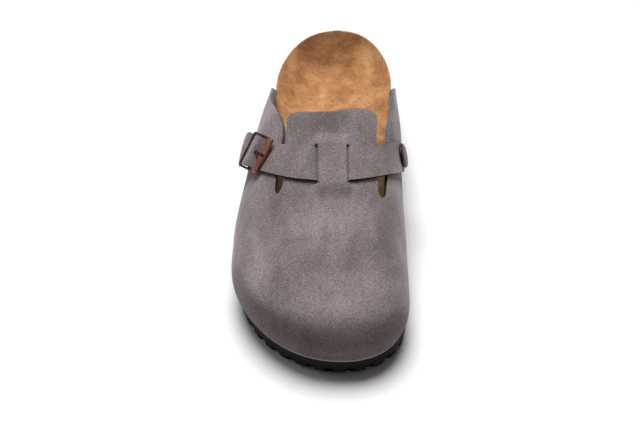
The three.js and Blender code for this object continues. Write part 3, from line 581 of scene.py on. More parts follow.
def meshFromArrays(name, points, faces):
    mesh = bpy.data.meshes.new(name)
    mesh.from_pydata([tuple(point) for point in points], [], [tuple(face) for face in faces])
    mesh.update()
    return mesh


# Joins points closer than merge, in metres, and turns every face outward
def cleanMesh(mesh, merge=0.000002):
    clean = bmesh.new()
    clean.from_mesh(mesh)
    if merge > 0:
        bmesh.ops.remove_doubles(clean, verts=clean.verts, dist=merge)
    bmesh.ops.recalc_face_normals(clean, faces=clean.faces)
    clean.to_mesh(mesh)
    clean.free()


def solidMesh(name, points, faces):
    mesh = meshFromArrays(name, points, faces)
    cleanMesh(mesh)
    return mesh


def evaluatedMesh(piece):
    graph = bpy.context.evaluated_depsgraph_get()
    return bpy.data.meshes.new_from_object(piece.evaluated_get(graph))


def bakeModifiers(piece):
    baked = evaluatedMesh(piece)
    piece.modifiers.clear()
    old = piece.data
    piece.data = baked
    bpy.data.meshes.remove(old)


def shadeSmooth(piece, sharpFrom=0):
    piece.data.polygons.foreach_set("use_smooth", [True] * len(piece.data.polygons))
    piece.data.update()
    if sharpFrom:
        piece.data.set_sharp_from_angle(angle=math.radians(sharpFrom))


def smoothPiece(name, mesh, material, sharpFrom=0):
    mesh.materials.append(material)
    piece = addObject(name, mesh)
    shadeSmooth(piece, sharpFrom)
    return piece


def circle(steps):
    return 2 * math.pi * np.arange(steps) / steps


def gridFaces(rows, columns):
    first = (np.arange(rows)[:, None] * (columns + 1) + np.arange(columns)[None, :]).ravel()
    return np.stack([first, first + 1, first + columns + 2, first + columns + 1], axis=1)


# Faces between rings of count points: closed joins the last ring to the first, lids fill the end rings
def ringFaces(rings, count, closed=False, lids=True):
    faces = []
    for i in range(rings if closed else rings - 1):
        here, ahead = i * count, (i + 1) % rings * count
        for k in range(count):
            after = (k + 1) % count
            faces.append((here + k, here + after, ahead + after, ahead + k))
    if lids and not closed:
        faces += [tuple(range(count)), tuple(range((rings - 1) * count, rings * count))]
    return faces


def sheetPatch(rows, columns, place):
    u, v = np.meshgrid(np.linspace(0, 1, rows + 1), np.linspace(0, 1, columns + 1), indexing="ij")
    station, turn, inner, outer = place(u.ravel(), v.ravel())
    inner = np.broadcast_to(inner, station.shape)
    outer = np.broadcast_to(outer, station.shape)
    return {"outer": offsetPoint(station, turn, outer), "inner": offsetPoint(station, turn, inner),
            "faces": gridFaces(rows, columns)}


# Closed sheet with rounded cut edges: merged outer face, matching inner face and a wall round every
# edge; the materials are those of the outer face, the edge and the inner face
def sheetPiece(name, patches, bevel, materials):
    surface = bmesh.new()
    innerLayer = surface.verts.layers.float_vector.new("inner")
    for patch in patches:
        verts = []
        for outer, inner in zip(inMetres(patch["outer"]), inMetres(patch["inner"])):
            vert = surface.verts.new(outer)
            vert[innerLayer] = Vector(inner)
            verts.append(vert)
        for face in patch["faces"]:
            surface.faces.new([verts[i] for i in face])
    bmesh.ops.remove_doubles(surface, verts=surface.verts, dist=0.00003)
    surface.verts.index_update()
    verts = list(surface.verts)
    count = len(verts)
    points = [vert.co.copy() for vert in verts] + [vert[innerLayer].copy() for vert in verts]
    faces, slots = [], []
    for face in surface.faces:
        loop = [vert.index for vert in face.verts]
        faces += [loop, [i + count for i in reversed(loop)]]
        slots += [0, 2]
    for edge in surface.edges:
        if len(edge.link_faces) == 1:
            loop = edge.link_loops[0]
            start, finish = loop.vert.index, loop.link_loop_next.vert.index
            faces.append([finish, start, start + count, finish + count])
            slots.append(1)
    surface.free()
    mesh = meshFromArrays(name, points, faces)
    for material in materials:
        mesh.materials.append(material)
    mesh.polygons.foreach_set("material_index", slots)
    cleanMesh(mesh, 0)
    piece = addObject(name, mesh)
    rounding = piece.modifiers.new("rounded edge", "BEVEL")
    rounding.width = bevel * millimetre
    rounding.segments = 2
    rounding.limit_method = "ANGLE"
    rounding.angle_limit = math.radians(50)
    rounding.material = 1
    rounding.use_clamp_overlap = True
    bakeModifiers(piece)
    shadeSmooth(piece)
    return piece


def stand(piece, slot, *nodes):
    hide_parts(*nodes)
    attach(piece, "root")


bridgeRaise = fit["wall"] + strap["thickness"] + 2 * fit["clearance"] - strap["dip"]
slitStart = strap["crest"] - strap["width"] / 2 - bridge["slitMargin"]
slitFinish = strap["crest"] + strap["width"] / 2 + bridge["slitMargin"]


def bridgeLift(station):
    away = np.abs(station - strap["crest"]) - strap["width"] / 2 - bridge["rampFrom"]
    return bridgeRaise * (1 - smoothStep(away / bridge["ramp"]))


def slitInside(station):
    return np.minimum(station - slitStart, slitFinish - station)


def slitShare(station):
    return roundEnd(np.maximum(slitInside(station), 0), bridge["slitCorner"])


# The opening beside the bridge is only as long as the strap is wide, and a line beyond it
def slitOpen(station):
    inside = slitInside(station) - bridge["slitMargin"] - bridge["slitEase"]
    line = bridge["slitLine"]
    return slitShare(station) * (line + (1 - line) * smoothStep(inside / bridge["slitRamp"]))


# Edge of the slot between collar and tongue: 1 on the collar, -1 on the tongue
def slotTurn(station, side, edge):
    name = "lateral" if side < 0 else "medial"
    gap = quarter["slotGap"] * rowValue(gapRows, name, station / quarter["slotEnd"])
    half = gap / halfWidth(station, side) / 2
    middle = rowValue(collarRows, name, station / quarter["slotEnd"]) - half
    opened = half * roundEnd(quarter["slotEnd"] - station, quarter["slotRound"])
    return turnAtShare(station, side, middle + edge * opened)


def collarTurn(station, side):
    return slotTurn(station, side, 1)


def tongueTurn(station, side):
    return slotTurn(station, side, -1)


# The collar bends outward behind the strap, in the top part of the quarter
def collarFlare(station, side, v):
    flare = quarter["lateralFlare"] if side < 0 else quarter["medialFlare"]
    fade = quarter["flareFade"]
    behindStrap = 1 - smoothStep((station - quarter["flareEnd"] + fade) / fade)
    fromRear = rise(station, quarter["flareStart"], quarter["flareGrow"])
    return flare * fromRear * behindStrap * rise(v, quarter["flareFrom"], quarter["flareOver"])


def seamTurn(station, side):
    share = rise(station, quarter["slotEnd"], last["length"] - quarter["slotEnd"])
    start = collarTurn(np.full_like(station, quarter["slotEnd"]), side)
    return start + (side * last["shoulderTurn"] * 0.5 - start) * share


def quarterRear(share):
    fromTop = (1 - share) * (fit["heelRim"] - sole["thickness"])
    return quarter["start"] + quarter["cornerRadius"] * (1 - roundEnd(fromTop, quarter["cornerRadius"]))


# Soft forms of the worn-in leather, listed one by one: station and turn of the middle, half lengths along
# and round, and height; a long shallow ripple lies between them
softForms = table(
    "at turn along round height",
    (232, -0.30, 30, 0.34, 0.9),
    (226, 0.34, 26, 0.26, 0.6),
    (203, 0.02, 15, 0.42, -0.8),
    (214, -0.55, 20, 0.20, -0.5),
    (190, -0.42, 10, 0.10, -0.5),
    (190, 0.46, 10, 0.10, -0.5),
    (120, -0.60, 26, 0.16, -0.7),
    (118, 0.66, 24, 0.14, -0.6),
)


reliefLook = {"sharpness": 1.4, "ripple": 0.16, "toeFade": 25, "edgeStart": 0.12, "edgeFade": 0.2}


def softRelief(station, turn):
    relief = np.zeros_like(station)
    for form in softForms:
        u = (station - form["at"]) / form["along"]
        v = (turn - form["turn"]) / form["round"]
        relief = relief + form["height"] * np.exp(-(u * u + v * v) * reliefLook["sharpness"])
    ripple = np.sin(station * 0.11 + turn * 5.0) * np.sin(station * 0.047 - turn * 7.5 + 1.3)
    near = smoothStep((last["length"] - station) / reliefLook["toeFade"])
    return (relief + reliefLook["ripple"] * ripple) * near


def leatherLift(station, turn, onBridge):
    raised = bridgeLift(station)
    if onBridge:
        return raised
    half = bridge["width"] / 2
    across = np.abs(lastPoint(station, turn)[..., 0] - centreLine(station))
    beside = 1 - smoothStep((across - half) / bridge["shoulder"])
    toEdge = slitInside(station) / (bridge["slitMargin"] - fit["clearance"])
    return raised * beside * (1 - smoothStep(toEdge))


def upperPlace(station, turn, lift):
    relief = softRelief(station, turn)
    edge = last["shoulderTurn"] + reliefLook["edgeStart"]
    clear = smoothStep((edge - np.abs(turn)) / reliefLook["edgeFade"])
    lift = lift + relief * clear
    return station, turn, fit["clearance"] + lift, surfaceLift + lift


def quarterPatch(side):
    def place(u, share):
        v = share if side < 0 else 1 - share
        rear = quarterRear(v)
        station = rear + (quarter["slotEnd"] - rear) * u
        turn = side + (collarTurn(station, side) - side) * v
        station, turn, inner, outer = upperPlace(station, turn, collarFlare(station, side, v))
        thicker = 1 - rise(station, quarter["edgeEnd"], quarter["edgeFade"])
        thicker = quarter["edgeThicker"] * thicker * rise(v, quarter["edgeFrom"], quarter["edgeOver"])
        return station, turn, inner - thicker, outer
    return sheetPatch(120, 48, place)


def betweenLines(lines, strip, v, station):
    around = lastSlopes(station, 0 * station)[1]
    perTurn = np.linalg.norm(around, axis=-1)
    inner = bridge["slitWidth"] * slitShare(station) / perTurn
    outer = bridge["slitOpening"] * slitOpen(station) / perTurn
    shift = [-outer * v, inner * (1 - 2 * v), outer * (1 - v)][strip]
    return lines[strip] + (lines[strip + 1] - lines[strip]) * v + shift


def tongueLines(station):
    half = bridge["width"] / 2
    return [tongueTurn(station, -1), turnAtDistance(station, -half + 0 * station),
            turnAtDistance(station, half + 0 * station), tongueTurn(station, 1)]


def bandStations(start, finish, stops, rowsPerSpan):
    marks = [start, *stops, finish]
    spans = [np.linspace(marks[i], marks[i + 1], rows + 1)[:-1] for i, rows in enumerate(rowsPerSpan)]
    return np.concatenate([*spans, [finish]])


upperGrid = {"side": 48, "middle": [18, 16, 18], "vampRows": 120, "edgeRound": 0.42}


def tonguePatches():
    stops = [slitStart, slitStart + bridge["slitCorner"], slitFinish - bridge["slitCorner"], slitFinish]
    stations = bandStations(tongue["top"], quarter["slotEnd"], stops, [24, 4, 26, 4, 1])
    patches = []
    for strip, columns in enumerate(upperGrid["middle"]):
        def place(u, v):
            nominal = stations[np.rint(u * (len(stations) - 1)).astype(int)]
            whole = (strip + v) / 3
            edge = np.clip((np.abs(2 * whole - 1) - 1 / 3) * 1.5, 0, 1)
            curve = tongue["cornerLength"] * (1 - np.sqrt(1 - edge ** tongue["cornerPower"]))
            curve = curve + tongue["tilt"] * (1 - 2 * whole) + tongue["hollow"] * (1 - (2 * whole - 1) ** 2)
            fade = 1 - rise(nominal, tongue["top"], slitStart - tongue["top"])
            station = nominal + curve * fade
            turn = betweenLines(tongueLines(station), strip, v, station)
            return upperPlace(station, turn, leatherLift(station, turn, strip == 1))
        patches.append(sheetPatch(len(stations) - 1, columns, place))
    return patches


def vampPatches():
    patches = []
    columns = [upperGrid["side"], *upperGrid["middle"], upperGrid["side"]]
    for strip, count in enumerate(columns):
        def place(u, v):
            station = quarter["slotEnd"] + (last["length"] - quarter["slotEnd"]) * np.sin(u * math.pi / 2)
            narrow = np.minimum(halfWidth(station, -1) * 0.2, halfWidth(station, 1) * 0.3)
            half = np.minimum(bridge["width"] / 2, narrow)
            lines = [-1 + 0 * station, seamTurn(station, -1), turnAtDistance(station, -half),
                     turnAtDistance(station, half), seamTurn(station, 1), 1 + 0 * station]
            turn = lines[strip] + (lines[strip + 1] - lines[strip]) * v
            if 0 < strip < 4:
                turn = np.where(u == 0, betweenLines(tongueLines(station), strip - 1, v, station), turn)
            return upperPlace(station, turn, leatherLift(station, turn, strip == 2))
        patches.append(sheetPatch(upperGrid["vampRows"], count, place))
    return patches


upperPatches = [quarterPatch(-1), quarterPatch(1), *tonguePatches(), *vampPatches()]
upperShell = sheetPiece("suede_upper", upperPatches, upperGrid["edgeRound"], [suede, cutEdge, cutEdge])
stand(upperShell, "suede", "upper")
print("stage: upper made,", len(upperShell.data.polygons), "faces")


# Strap, buckle and stud
buckle = {
    "turn": -0.46,
    "insideWidth": 21,
    "rail": 1.6,
    "wideBar": 5.4,
    "outerBar": 2.2,
    "wideReach": 10.1,
    "outerReach": 8.2,
    "thickness": 1.7,
    "edge": 0.5,
    "tilt": 7,
    "bevel": 0.35,
    "barRadius": 0.95,
    "tabWidth": 16,
    "tabThickness": 1.2,
    "tabStart": 0.4,
    "tabLength": 17,
    "tabRound": 5,
    "tabNarrow": 4,
    "humpFlat": 1.6,
    "humpRamp": 6.2,
    "prongWidth": 2,
    "prongThickness": 1.1,
    "cutterRoom": 0.8,
    "sharpFrom": 40,
}
stud = {"turn": 0.625, "radius": 7.8, "height": 2.6, "margin": 1.6}


def strapStation(turn):
    sweep = bySide(turn, strap["lateralSweep"], strap["medialSweep"])
    return strap["crest"] - sweep * (turn / last["shoulderTurn"]) ** 2


def strapHalf(turn):
    narrow = strap["taper"] * rise(np.abs(turn), strap["taperFrom"], strap["taperOver"])
    return (strap["width"] - narrow) / 2


def strapFrames(turn):
    turn = np.atleast_1d(np.asarray(turn, dtype=float))
    station = strapStation(turn)
    origin = offsetPoint(station, turn, surfaceLift + 0 * turn)
    ahead = offsetPoint(strapStation(turn - 0.01), turn - 0.01, surfaceLift + 0 * turn)
    normal = lastNormal(station, turn)
    down = ahead - origin
    down = unit(down - normal * (down * normal).sum(-1, keepdims=True))
    return {"station": station, "turn": turn, "origin": origin, "down": down, "normal": normal,
            "across": unit(np.cross(normal, down))}


buckleFrame = strapFrames(buckle["turn"])
eyeRadius = buckle["barRadius"] + fit["clearance"] + buckle["tabThickness"]
centreLift = 2 * fit["clearance"] + eyeRadius
frameBase = centreLift + buckle["barRadius"] * 0.7


def strapLift(station, turn):
    across = np.abs(lastPoint(station, turn)[..., 0] - centreLine(station))
    out = smoothStep((across - bridge["width"] / 2 - fit["clearance"]) / bridge["slitDive"])
    under = fit["clearance"] - strap["dip"] * (1 - out)
    surface = offsetPoint(station, turn, surfaceLift + 0 * station)
    distance = ((surface - buckleFrame["origin"]) * buckleFrame["down"]).sum(-1)
    rest = np.where(distance > 0, 2 * fit["clearance"] + buckle["tabThickness"], fit["clearance"])
    near = 1 - rise(np.abs(distance), buckle["humpFlat"], buckle["humpRamp"])
    over = rest + (centreLift + eyeRadius + 2 * fit["clearance"] - rest) * near
    over = over + strap["tailRise"] * rise(distance, buckle["outerReach"], strap["tailRamp"])
    return np.where((turn > 0) | (out < 1), under, over)


def strapPatch(rows=300, columns=44):
    ahead = buckleFrame["down"] * strap["tailLength"]
    tail = walk(buckleFrame["station"], buckleFrame["turn"], ahead)[1][0]
    studFrame = strapFrames(stud["turn"])
    back = studFrame["down"] * -(stud["radius"] + stud["margin"])
    end = walk(studFrame["station"], studFrame["turn"], back)[1][0]
    path = strapFrames(np.linspace(end, tail, rows + 1))
    toEnds = np.minimum(np.linalg.norm(path["origin"] - path["origin"][0], axis=-1),
                        np.linalg.norm(path["origin"] - path["origin"][-1], axis=-1))

    def place(u, v):
        row = np.rint(u * rows).astype(int)
        narrow = strap["tipNarrow"] * (1 - roundEnd(toEnds[row], strap["tipRound"]))
        half = strapHalf(path["turn"][row]) - narrow
        move = path["across"][row] * (half * (2 * v - 1))[:, None]
        station, turn = walk(path["station"][row], path["turn"][row], move)
        lift = surfaceLift + strapLift(station, turn)
        return station, turn, lift, lift + strap["thickness"]
    return sheetPatch(rows, columns, place)


strapBand = sheetPiece("suede_strap", [strapPatch()], 0.35, [suede, shadedStrapEdge, cutEdge])


def tabPatch(rows=40, columns=30):
    def place(u, v):
        reach = buckle["tabStart"] + (buckle["tabLength"] - buckle["tabStart"]) * u
        tip = 1 - roundEnd(buckle["tabLength"] - reach, buckle["tabRound"])
        half = buckle["tabWidth"] / 2 - buckle["tabNarrow"] * tip
        move = buckleFrame["down"] * reach[:, None] + buckleFrame["across"] * (half * (2 * v - 1))[:, None]
        station, turn = walk(buckleFrame["station"] + 0 * u, buckleFrame["turn"] + 0 * u, move)
        lift = fit["wall"] + 2 * fit["clearance"]
        return station, turn, lift, lift + buckle["tabThickness"]
    return sheetPatch(rows, columns, place)


# Moves a shape drawn about the origin to a place on the last, lift above it
def placeMatrix(frames, lift=0.0):
    origin = (frames["origin"][0] + frames["normal"][0] * lift + toFrame) * millimetre
    columns = [frames["down"][0], frames["across"][0], frames["normal"][0], origin]
    return Matrix(np.vstack([np.column_stack(columns), (0, 0, 0, 1)]).tolist())


def joinMeshes(name, pieces, sharpFrom=0):
    joined = bmesh.new()
    materials = []
    for piece in pieces:
        base = len(materials)
        materials += list(piece.data.materials)
        before = len(joined.faces)
        joined.from_mesh(piece.data)
        joined.faces.ensure_lookup_table()
        for face in joined.faces[before:]:
            face.material_index += base
    mesh = bpy.data.meshes.new(name)
    joined.to_mesh(mesh)
    joined.free()
    for material in materials:
        mesh.materials.append(material)
    for piece in pieces:
        bpy.data.objects.remove(piece)
    piece = addObject(name, mesh)
    shadeSmooth(piece, sharpFrom)
    return piece


leafPiece = sheetPiece("tab_leaf", [tabPatch()], 0.3, [suede, cutEdge, cutEdge])


# Flat bar with round sides, swept along its centres
def sweepMesh(name, centres, width, height, section=20):
    tangents = unit(np.gradient(centres, axis=0))
    across = np.array([0.0, 1.0, 0.0])
    angle = circle(section)
    x = width / 2 * np.sign(np.cos(angle)) * np.abs(np.cos(angle)) ** 0.6
    y = height / 2 * np.sign(np.sin(angle)) * np.abs(np.sin(angle)) ** 0.6
    up = unit(np.cross(tangents, across))
    points = centres[:, None, :] + across * x[None, :, None] + up[:, None, :] * y[None, :, None]
    return solidMesh(name, points.reshape(-1, 3) * millimetre, ringFaces(len(centres), section))


# Round ring about the centre bar, from one side to the other
def rolledMesh(name, outer, inner, start, finish, steps=40):
    edge = 0.25
    profile = [(outer - edge, start), (outer, start + edge), (outer, finish - edge),
               (outer - edge, finish), (inner, finish), (inner, start)]
    points = [(radius * math.cos(angle), y, centreLift + radius * math.sin(angle))
              for angle in circle(steps) for radius, y in profile]
    return solidMesh(name, np.array(points) * millimetre, ringFaces(steps, len(profile), closed=True))


# Smooth curve through the stops, cut into steps
def throughPoints(stops, steps):
    stops = np.array(stops, dtype=float)
    padded = np.vstack([stops[:1], stops, stops[-1:]])
    places = []
    for k in np.linspace(0, len(stops) - 1, steps):
        i = min(int(k), len(stops) - 2)
        t = k - i
        p0, p1, p2, p3 = padded[i:i + 4]
        v0, v1 = (p2 - p0) / 2, (p3 - p1) / 2
        places.append((2 * t ** 3 - 3 * t ** 2 + 1) * p1 + (t ** 3 - 2 * t ** 2 + t) * v0
                      + (3 * t ** 2 - 2 * t ** 3) * p2 + (t ** 3 - t ** 2) * v1)
    return np.array(places)


def tiltMatrix(scale=1):
    lift = Matrix.Translation((0, 0, centreLift * scale))
    return lift @ Matrix.Rotation(-math.radians(buckle["tilt"]), 4, "Y") @ lift.inverted()


# The prong starts at the eye, runs inside the strap and comes out to lie on the wide bar
def prongPath():
    eyeOuter = buckle["barRadius"] + fit["clearance"] + buckle["prongThickness"]
    rest = frameBase + buckle["thickness"] + fit["clearance"]
    half = buckle["prongThickness"] / 2
    barStops = [(-buckle["wideReach"] + buckle["wideBar"] / 2, rest + half + 0.3),
                (-buckle["wideReach"] - buckle["wideBar"] / 2 + 0.4, rest + half)]
    stops = [(-eyeOuter + half, 0, centreLift), (-eyeOuter - 0.1, 0, centreLift + 1.7),
             (-eyeOuter - 2.1, 0, centreLift + 2.5)]
    stops += [tuple(tiltMatrix() @ Vector((reach, 0, height))) for reach, height in barStops]
    return throughPoints(stops, 40), eyeOuter


def buckleObject(name, mesh, *materials):
    mesh.transform(placeMatrix(buckleFrame))
    mesh.materials.clear()
    for material in materials:
        mesh.materials.append(material)
    return addObject(name, mesh)


def cutAway(piece, cutter):
    cut = piece.modifiers.new("cut", "BOOLEAN")
    cut.operation = "DIFFERENCE"
    cut.solver = "EXACT"
    cut.object = cutter
    bakeModifiers(piece)
    shadeSmooth(piece)
    bpy.data.objects.remove(cutter)


prongCentres, prongEye = prongPath()
eyeInner = buckle["barRadius"] + fit["clearance"]
cutterSize = (buckle["prongWidth"] + buckle["cutterRoom"], buckle["prongThickness"] + buckle["cutterRoom"])
cutAway(strapBand, buckleObject("arm_cutter", sweepMesh("arm_cutter", prongCentres, *cutterSize)))
cutAway(leafPiece, buckleObject("eye_cutter", rolledMesh("eye_cutter", prongEye + 0.35, 0.5, -1.5, 1.5)))

prongGap = buckle["prongWidth"] / 2 + fit["clearance"]
eyes = []
for side in (-1, 1):
    start, finish = sorted((side * prongGap, side * buckle["tabWidth"] / 2))
    eyes.append(buckleObject("tab_eye", rolledMesh("tab_eye", eyeRadius, eyeInner, start, finish), suede))
buckleTab = joinMeshes("suede_tab", [leafPiece, *eyes])
stand(strapBand, "suede", "strap")
stand(buckleTab, "suede", "buckle_tab")
print("stage: strap and tab made")


def roundedLoop(x0, y0, x1, y1, radius, steps=6):
    corners = [(x1 - radius, y0 + radius, -90), (x1 - radius, y1 - radius, 0),
               (x0 + radius, y1 - radius, 90), (x0 + radius, y0 + radius, 180)]
    points = []
    for cx, cy, start in corners:
        for k in range(steps + 1):
            angle = math.radians(start + 90 * k / steps)
            points.append((cx + radius * math.cos(angle), cy + radius * math.sin(angle)))
    return points


# Flat plate from closed loops, with a round edge, through a filled curve
def plateMesh(name, loops, base, thickness, edge):
    curve = bpy.data.curves.new(name, "CURVE")
    curve.dimensions = "2D"
    curve.fill_mode = "BOTH"
    for loop in loops:
        spline = curve.splines.new("POLY")
        spline.points.add(len(loop) - 1)
        for point, (x, y) in zip(spline.points, loop):
            point.co = (x * millimetre, y * millimetre, 0, 1)
        spline.use_cyclic_u = True
    curve.extrude = (thickness / 2 - edge) * millimetre
    curve.bevel_depth = edge * millimetre
    curve.bevel_resolution = 3
    source = addObject(name, curve)
    mesh = evaluatedMesh(source)
    bpy.data.objects.remove(source)
    mesh.transform(Matrix.Translation((0, 0, (base + thickness / 2) * millimetre)))
    cleanMesh(mesh)
    return mesh


def makeBuckleFrame():
    edge = buckle["edge"]
    halfIn = buckle["insideWidth"] / 2
    halfOut = halfIn + buckle["rail"]
    wideOut, wideIn = [-buckle["wideReach"] + end * buckle["wideBar"] / 2 for end in (-1, 1)]
    farIn, farOut = [buckle["outerReach"] + end * buckle["outerBar"] / 2 for end in (-1, 1)]
    outline = roundedLoop(wideOut + edge + 0.3, -halfOut + edge, farOut - edge, halfOut - edge, 1.5)
    window = roundedLoop(wideIn - 1.2, -halfIn - edge, farIn + edge, halfIn + edge, 1.3)
    wide = roundedLoop(wideOut + edge, -halfOut + edge, wideIn - edge, halfOut - edge, 1.0)
    plateShape = plateMesh("buckle_plate", [outline, window], frameBase, buckle["thickness"], edge)
    barShape = plateMesh("buckle_bar", [wide], frameBase - 0.1, buckle["thickness"] + 0.3, buckle["bevel"])
    for shape in (plateShape, barShape):
        shape.transform(tiltMatrix(millimetre))
    points = [(buckle["barRadius"] * math.cos(a), y, centreLift + buckle["barRadius"] * math.sin(a))
              for y in (-halfOut + 0.4, halfOut - 0.4) for a in circle(20)]
    rod = solidMesh("centre_bar", np.array(points) * millimetre, ringFaces(2, 20))
    # One metal coloured by place: copper on the wide bar as painted reflection, dark metal on plate and
    # centre bar as painted shade
    pieces = [buckleObject("buckle_plate", plateShape, gunmetal),
              buckleObject("buckle_bar", barShape, copper), buckleObject("centre_bar", rod, gunmetal)]
    return joinMeshes("metal_buckle_frame", pieces, buckle["sharpFrom"])


def makeProng():
    half = buckle["prongWidth"] / 2
    arm = sweepMesh("prong_arm", prongCentres, buckle["prongWidth"], buckle["prongThickness"])
    ring = rolledMesh("prong_ring", prongEye, eyeInner, -half, half)
    pieces = [buckleObject("prong_arm", arm, studMetal), buckleObject("prong_ring", ring, studMetal)]
    return joinMeshes("metal_buckle_prong", pieces, buckle["sharpFrom"])


stand(makeBuckleFrame(), "copper", "buckle_frame")
stand(makeProng(), "gunmetal", "buckle_prong")


# Domed stud with a rolled rim, turned about its own axis
def makeStud():
    radius, height = stud["radius"], stud["height"]
    dome = [(0.45, 0.12), (0.70, 0.42), (0.80, 0.62), (0.88, 0.50), (0.96, 0.85), (1, 1.5)]
    stops = [(0.01, 0, height), *[(radius * share, 0, height - drop) for share, drop in dome],
             (radius - 0.1, 0, 0.5), (radius - 0.6, 0, 0)]
    profile = throughPoints(stops, 64)
    points = [(x * math.cos(angle), x * math.sin(angle), z) for x, _, z in profile for angle in circle(64)]
    mesh = solidMesh("metal_stud", np.array(points) * millimetre, ringFaces(len(profile), 64))
    place = strapFrames(stud["turn"])
    lift = strapLift(place["station"], place["turn"])[0] + strap["thickness"] + fit["clearance"]
    mesh.transform(placeMatrix(place, lift))
    return smoothPiece("metal_stud", mesh, studMetal, buckle["sharpFrom"])


stand(makeStud(), "gunmetal", "strap_stud")
print("stage: buckle and stud made")


# Footbed: cork block and suede lining
def sideAcross(station, side, height):
    low, feather = widestHeight(station), featherHeight(station)
    drop = np.clip((low - height) / (low - feather), 0, 1)
    width = halfWidth(station, side) * (1 - last["tuckShare"] * drop ** 2)
    return width - fit["footbedMargin"] * np.minimum(width / fit["footbedEase"], 1)


def insoleHeight(station, across):
    at = station / last["length"]
    centre = rowValue(footbedRows, "centre", at)
    rim = bySide(across, rowValue(footbedRows, "lateral", at), rowValue(footbedRows, "medial", at))
    return fit["heelRim"] * (centre + (rim - centre) * np.abs(across) ** fit["footbedPower"])


def footbedTop(station, across, depth):
    side = bySide(across, -1, 1)
    rimHeight = insoleHeight(station, side) - fit["insoleThickness"] - fit["clearance"]
    x = centreLine(station) + across * sideAcross(station, side, rimHeight)
    return np.stack([x, -station, insoleHeight(station, across) - depth], axis=-1)


def wholeStations(count):
    wave = (1 - np.cos(math.pi * np.arange(count + 1) / count)) / 2
    return fit["tipFlat"] + (last["length"] - 2 * fit["tipFlat"]) * wave


# How far a place lies inside the footbed's outline, seen from above
def insideRim(points):
    station = wholeStations(700)
    rims = np.concatenate([footbedTop(station, end + 0 * station, 0) for end in (-1, 1)])
    away = np.full(len(points), 1e9)
    for start in range(0, len(rims), 100):
        part = rims[start:start + 100]
        away = np.minimum(away, np.hypot(points[:, None, 0] - part[None, :, 0],
                                         points[:, None, 1] - part[None, :, 1]).min(1))
    return away


def loftPiece(name, rings, material):
    points = inMetres(rings.reshape(-1, 3))
    return smoothPiece(name, solidMesh(name, points, ringFaces(len(rings), rings.shape[1])), material)


def paintPoints(piece, name, values):
    attribute = piece.data.attributes.new(name, "FLOAT", "POINT")
    attribute.data.foreach_set("value", np.asarray(values, dtype=np.float32))


def partPoints(piece):
    flat = np.zeros(len(piece.data.vertices) * 3)
    piece.data.vertices.foreach_get("co", flat)
    return flat.reshape(-1, 3) / millimetre - toFrame


# Soft blots, listed one by one: across and station of the middle, half lengths, strength
def blotField(points, blots):
    total = np.zeros(len(points))
    for blot in blots:
        u = (points[:, 0] - blot["x"]) / blot["wide"]
        v = (-points[:, 1] - blot["station"]) / blot["long"]
        total += blot["amount"] * np.exp(-(u * u + v * v))
    return total


insoleLook = {"rimRound": 0.9, "rimFrom": 0.6, "rimBand": 2.6, "crown": 0.25, "crownEase": 12,
              "shadeUnderVampFrom": 98, "shadeUnderVampOver": 12}

# Tone patches of the lining; the narrow light streak on the heel cup's lateral wall is a painted highlight
insoleBlots = table(
    "x station wide long amount",
    (-7, 19, 13, 7, -0.42),
    (6, 29, 7, 5, -0.45),
    (-24, 27, 6, 9, -0.40),
    (-31, 20, 3, 13, 0.90),
    (22, 18, 7, 13, 0.50),
    (-2, 36, 15, 5, 0.25),
    (18, 50, 11, 8, 0.25),
    (-32, 52, 5, 12, -0.30),
    (-12, 52, 8, 8, 0.20),
    (24, 112, 10, 16, 0.15),
)


def makeInsole():
    across = np.sin(np.linspace(-1, 1, 81) * math.pi / 2)
    station, a = np.meshgrid(wholeStations(190), across, indexing="ij")
    top = footbedTop(station, a, 0)
    flat = top.reshape(-1, 3)
    inside = insideRim(flat)
    drop = insoleLook["rimRound"] * (1 - roundEnd(inside, insoleLook["rimRound"]))
    soft = insoleLook["crown"] * np.sin(flat[:, 1] * 0.13) * np.sin(flat[:, 0] * 0.17 + 0.6)
    flat[:, 2] += soft * smoothStep(inside / insoleLook["crownEase"]) - drop
    bottom = footbedTop(station, a, fit["insoleThickness"])[:, ::-1]
    return loftPiece("suede_insole", np.concatenate([flat.reshape(top.shape), bottom], axis=1), lining)


insolePiece = makeInsole()
here = partPoints(insolePiece)
paintPoints(insolePiece, "rim", 1 - rise(insideRim(here), insoleLook["rimFrom"], insoleLook["rimBand"]))
paintPoints(insolePiece, "blot", blotField(here, insoleBlots))
# Painted shade on the lining from under the tongue and vamp to the toe
paintPoints(insolePiece, "covered", rise(-here[:, 1], insoleLook["shadeUnderVampFrom"], insoleLook["shadeUnderVampOver"]))
stand(insolePiece, "lining", "insole")


def makeCorkBlock():
    depth = fit["insoleThickness"] + fit["clearance"]
    rings = []
    across = np.sin(np.linspace(-1, 1, 41) * math.pi / 2)
    for station in wholeStations(190):
        s = np.full(len(across), station)
        ring = [footbedTop(s, across, depth)]
        for side in (1, -1):
            top = insoleHeight(np.array([station]), np.array([side]))[0] - depth
            base = featherHeight(station)
            shares = np.linspace(0, 1, 25)[1:] if side > 0 else np.linspace(1, 0, 25)[:-1]
            height = top + (base - top) * shares
            x = centreLine(station) + side * sideAcross(station + 0 * height, side, height)
            ring.append(np.stack([x, -station + 0 * x, height], axis=-1))
        rings.append(np.concatenate(ring))
    return loftPiece("cork_block", np.array(rings), cork)


stand(makeCorkBlock(), "cork", "footbed")
print("stage: footbed made")


# Outsole with scalloped lugs and a ribbed tread
def soleOutline(count):
    angle = circle(count)
    station = last["length"] * (1 - np.cos(angle)) / 2
    turn = np.where(np.sin(angle) < 0, -1.0, 1.0)
    upperCover = smoothStep((station - quarter["start"] + sole["coverRamp"]) / sole["coverRamp"])
    cover = sole["margin"] + (surfaceLift - sole["margin"]) * upperCover
    return offsetPoint(station, turn, cover)


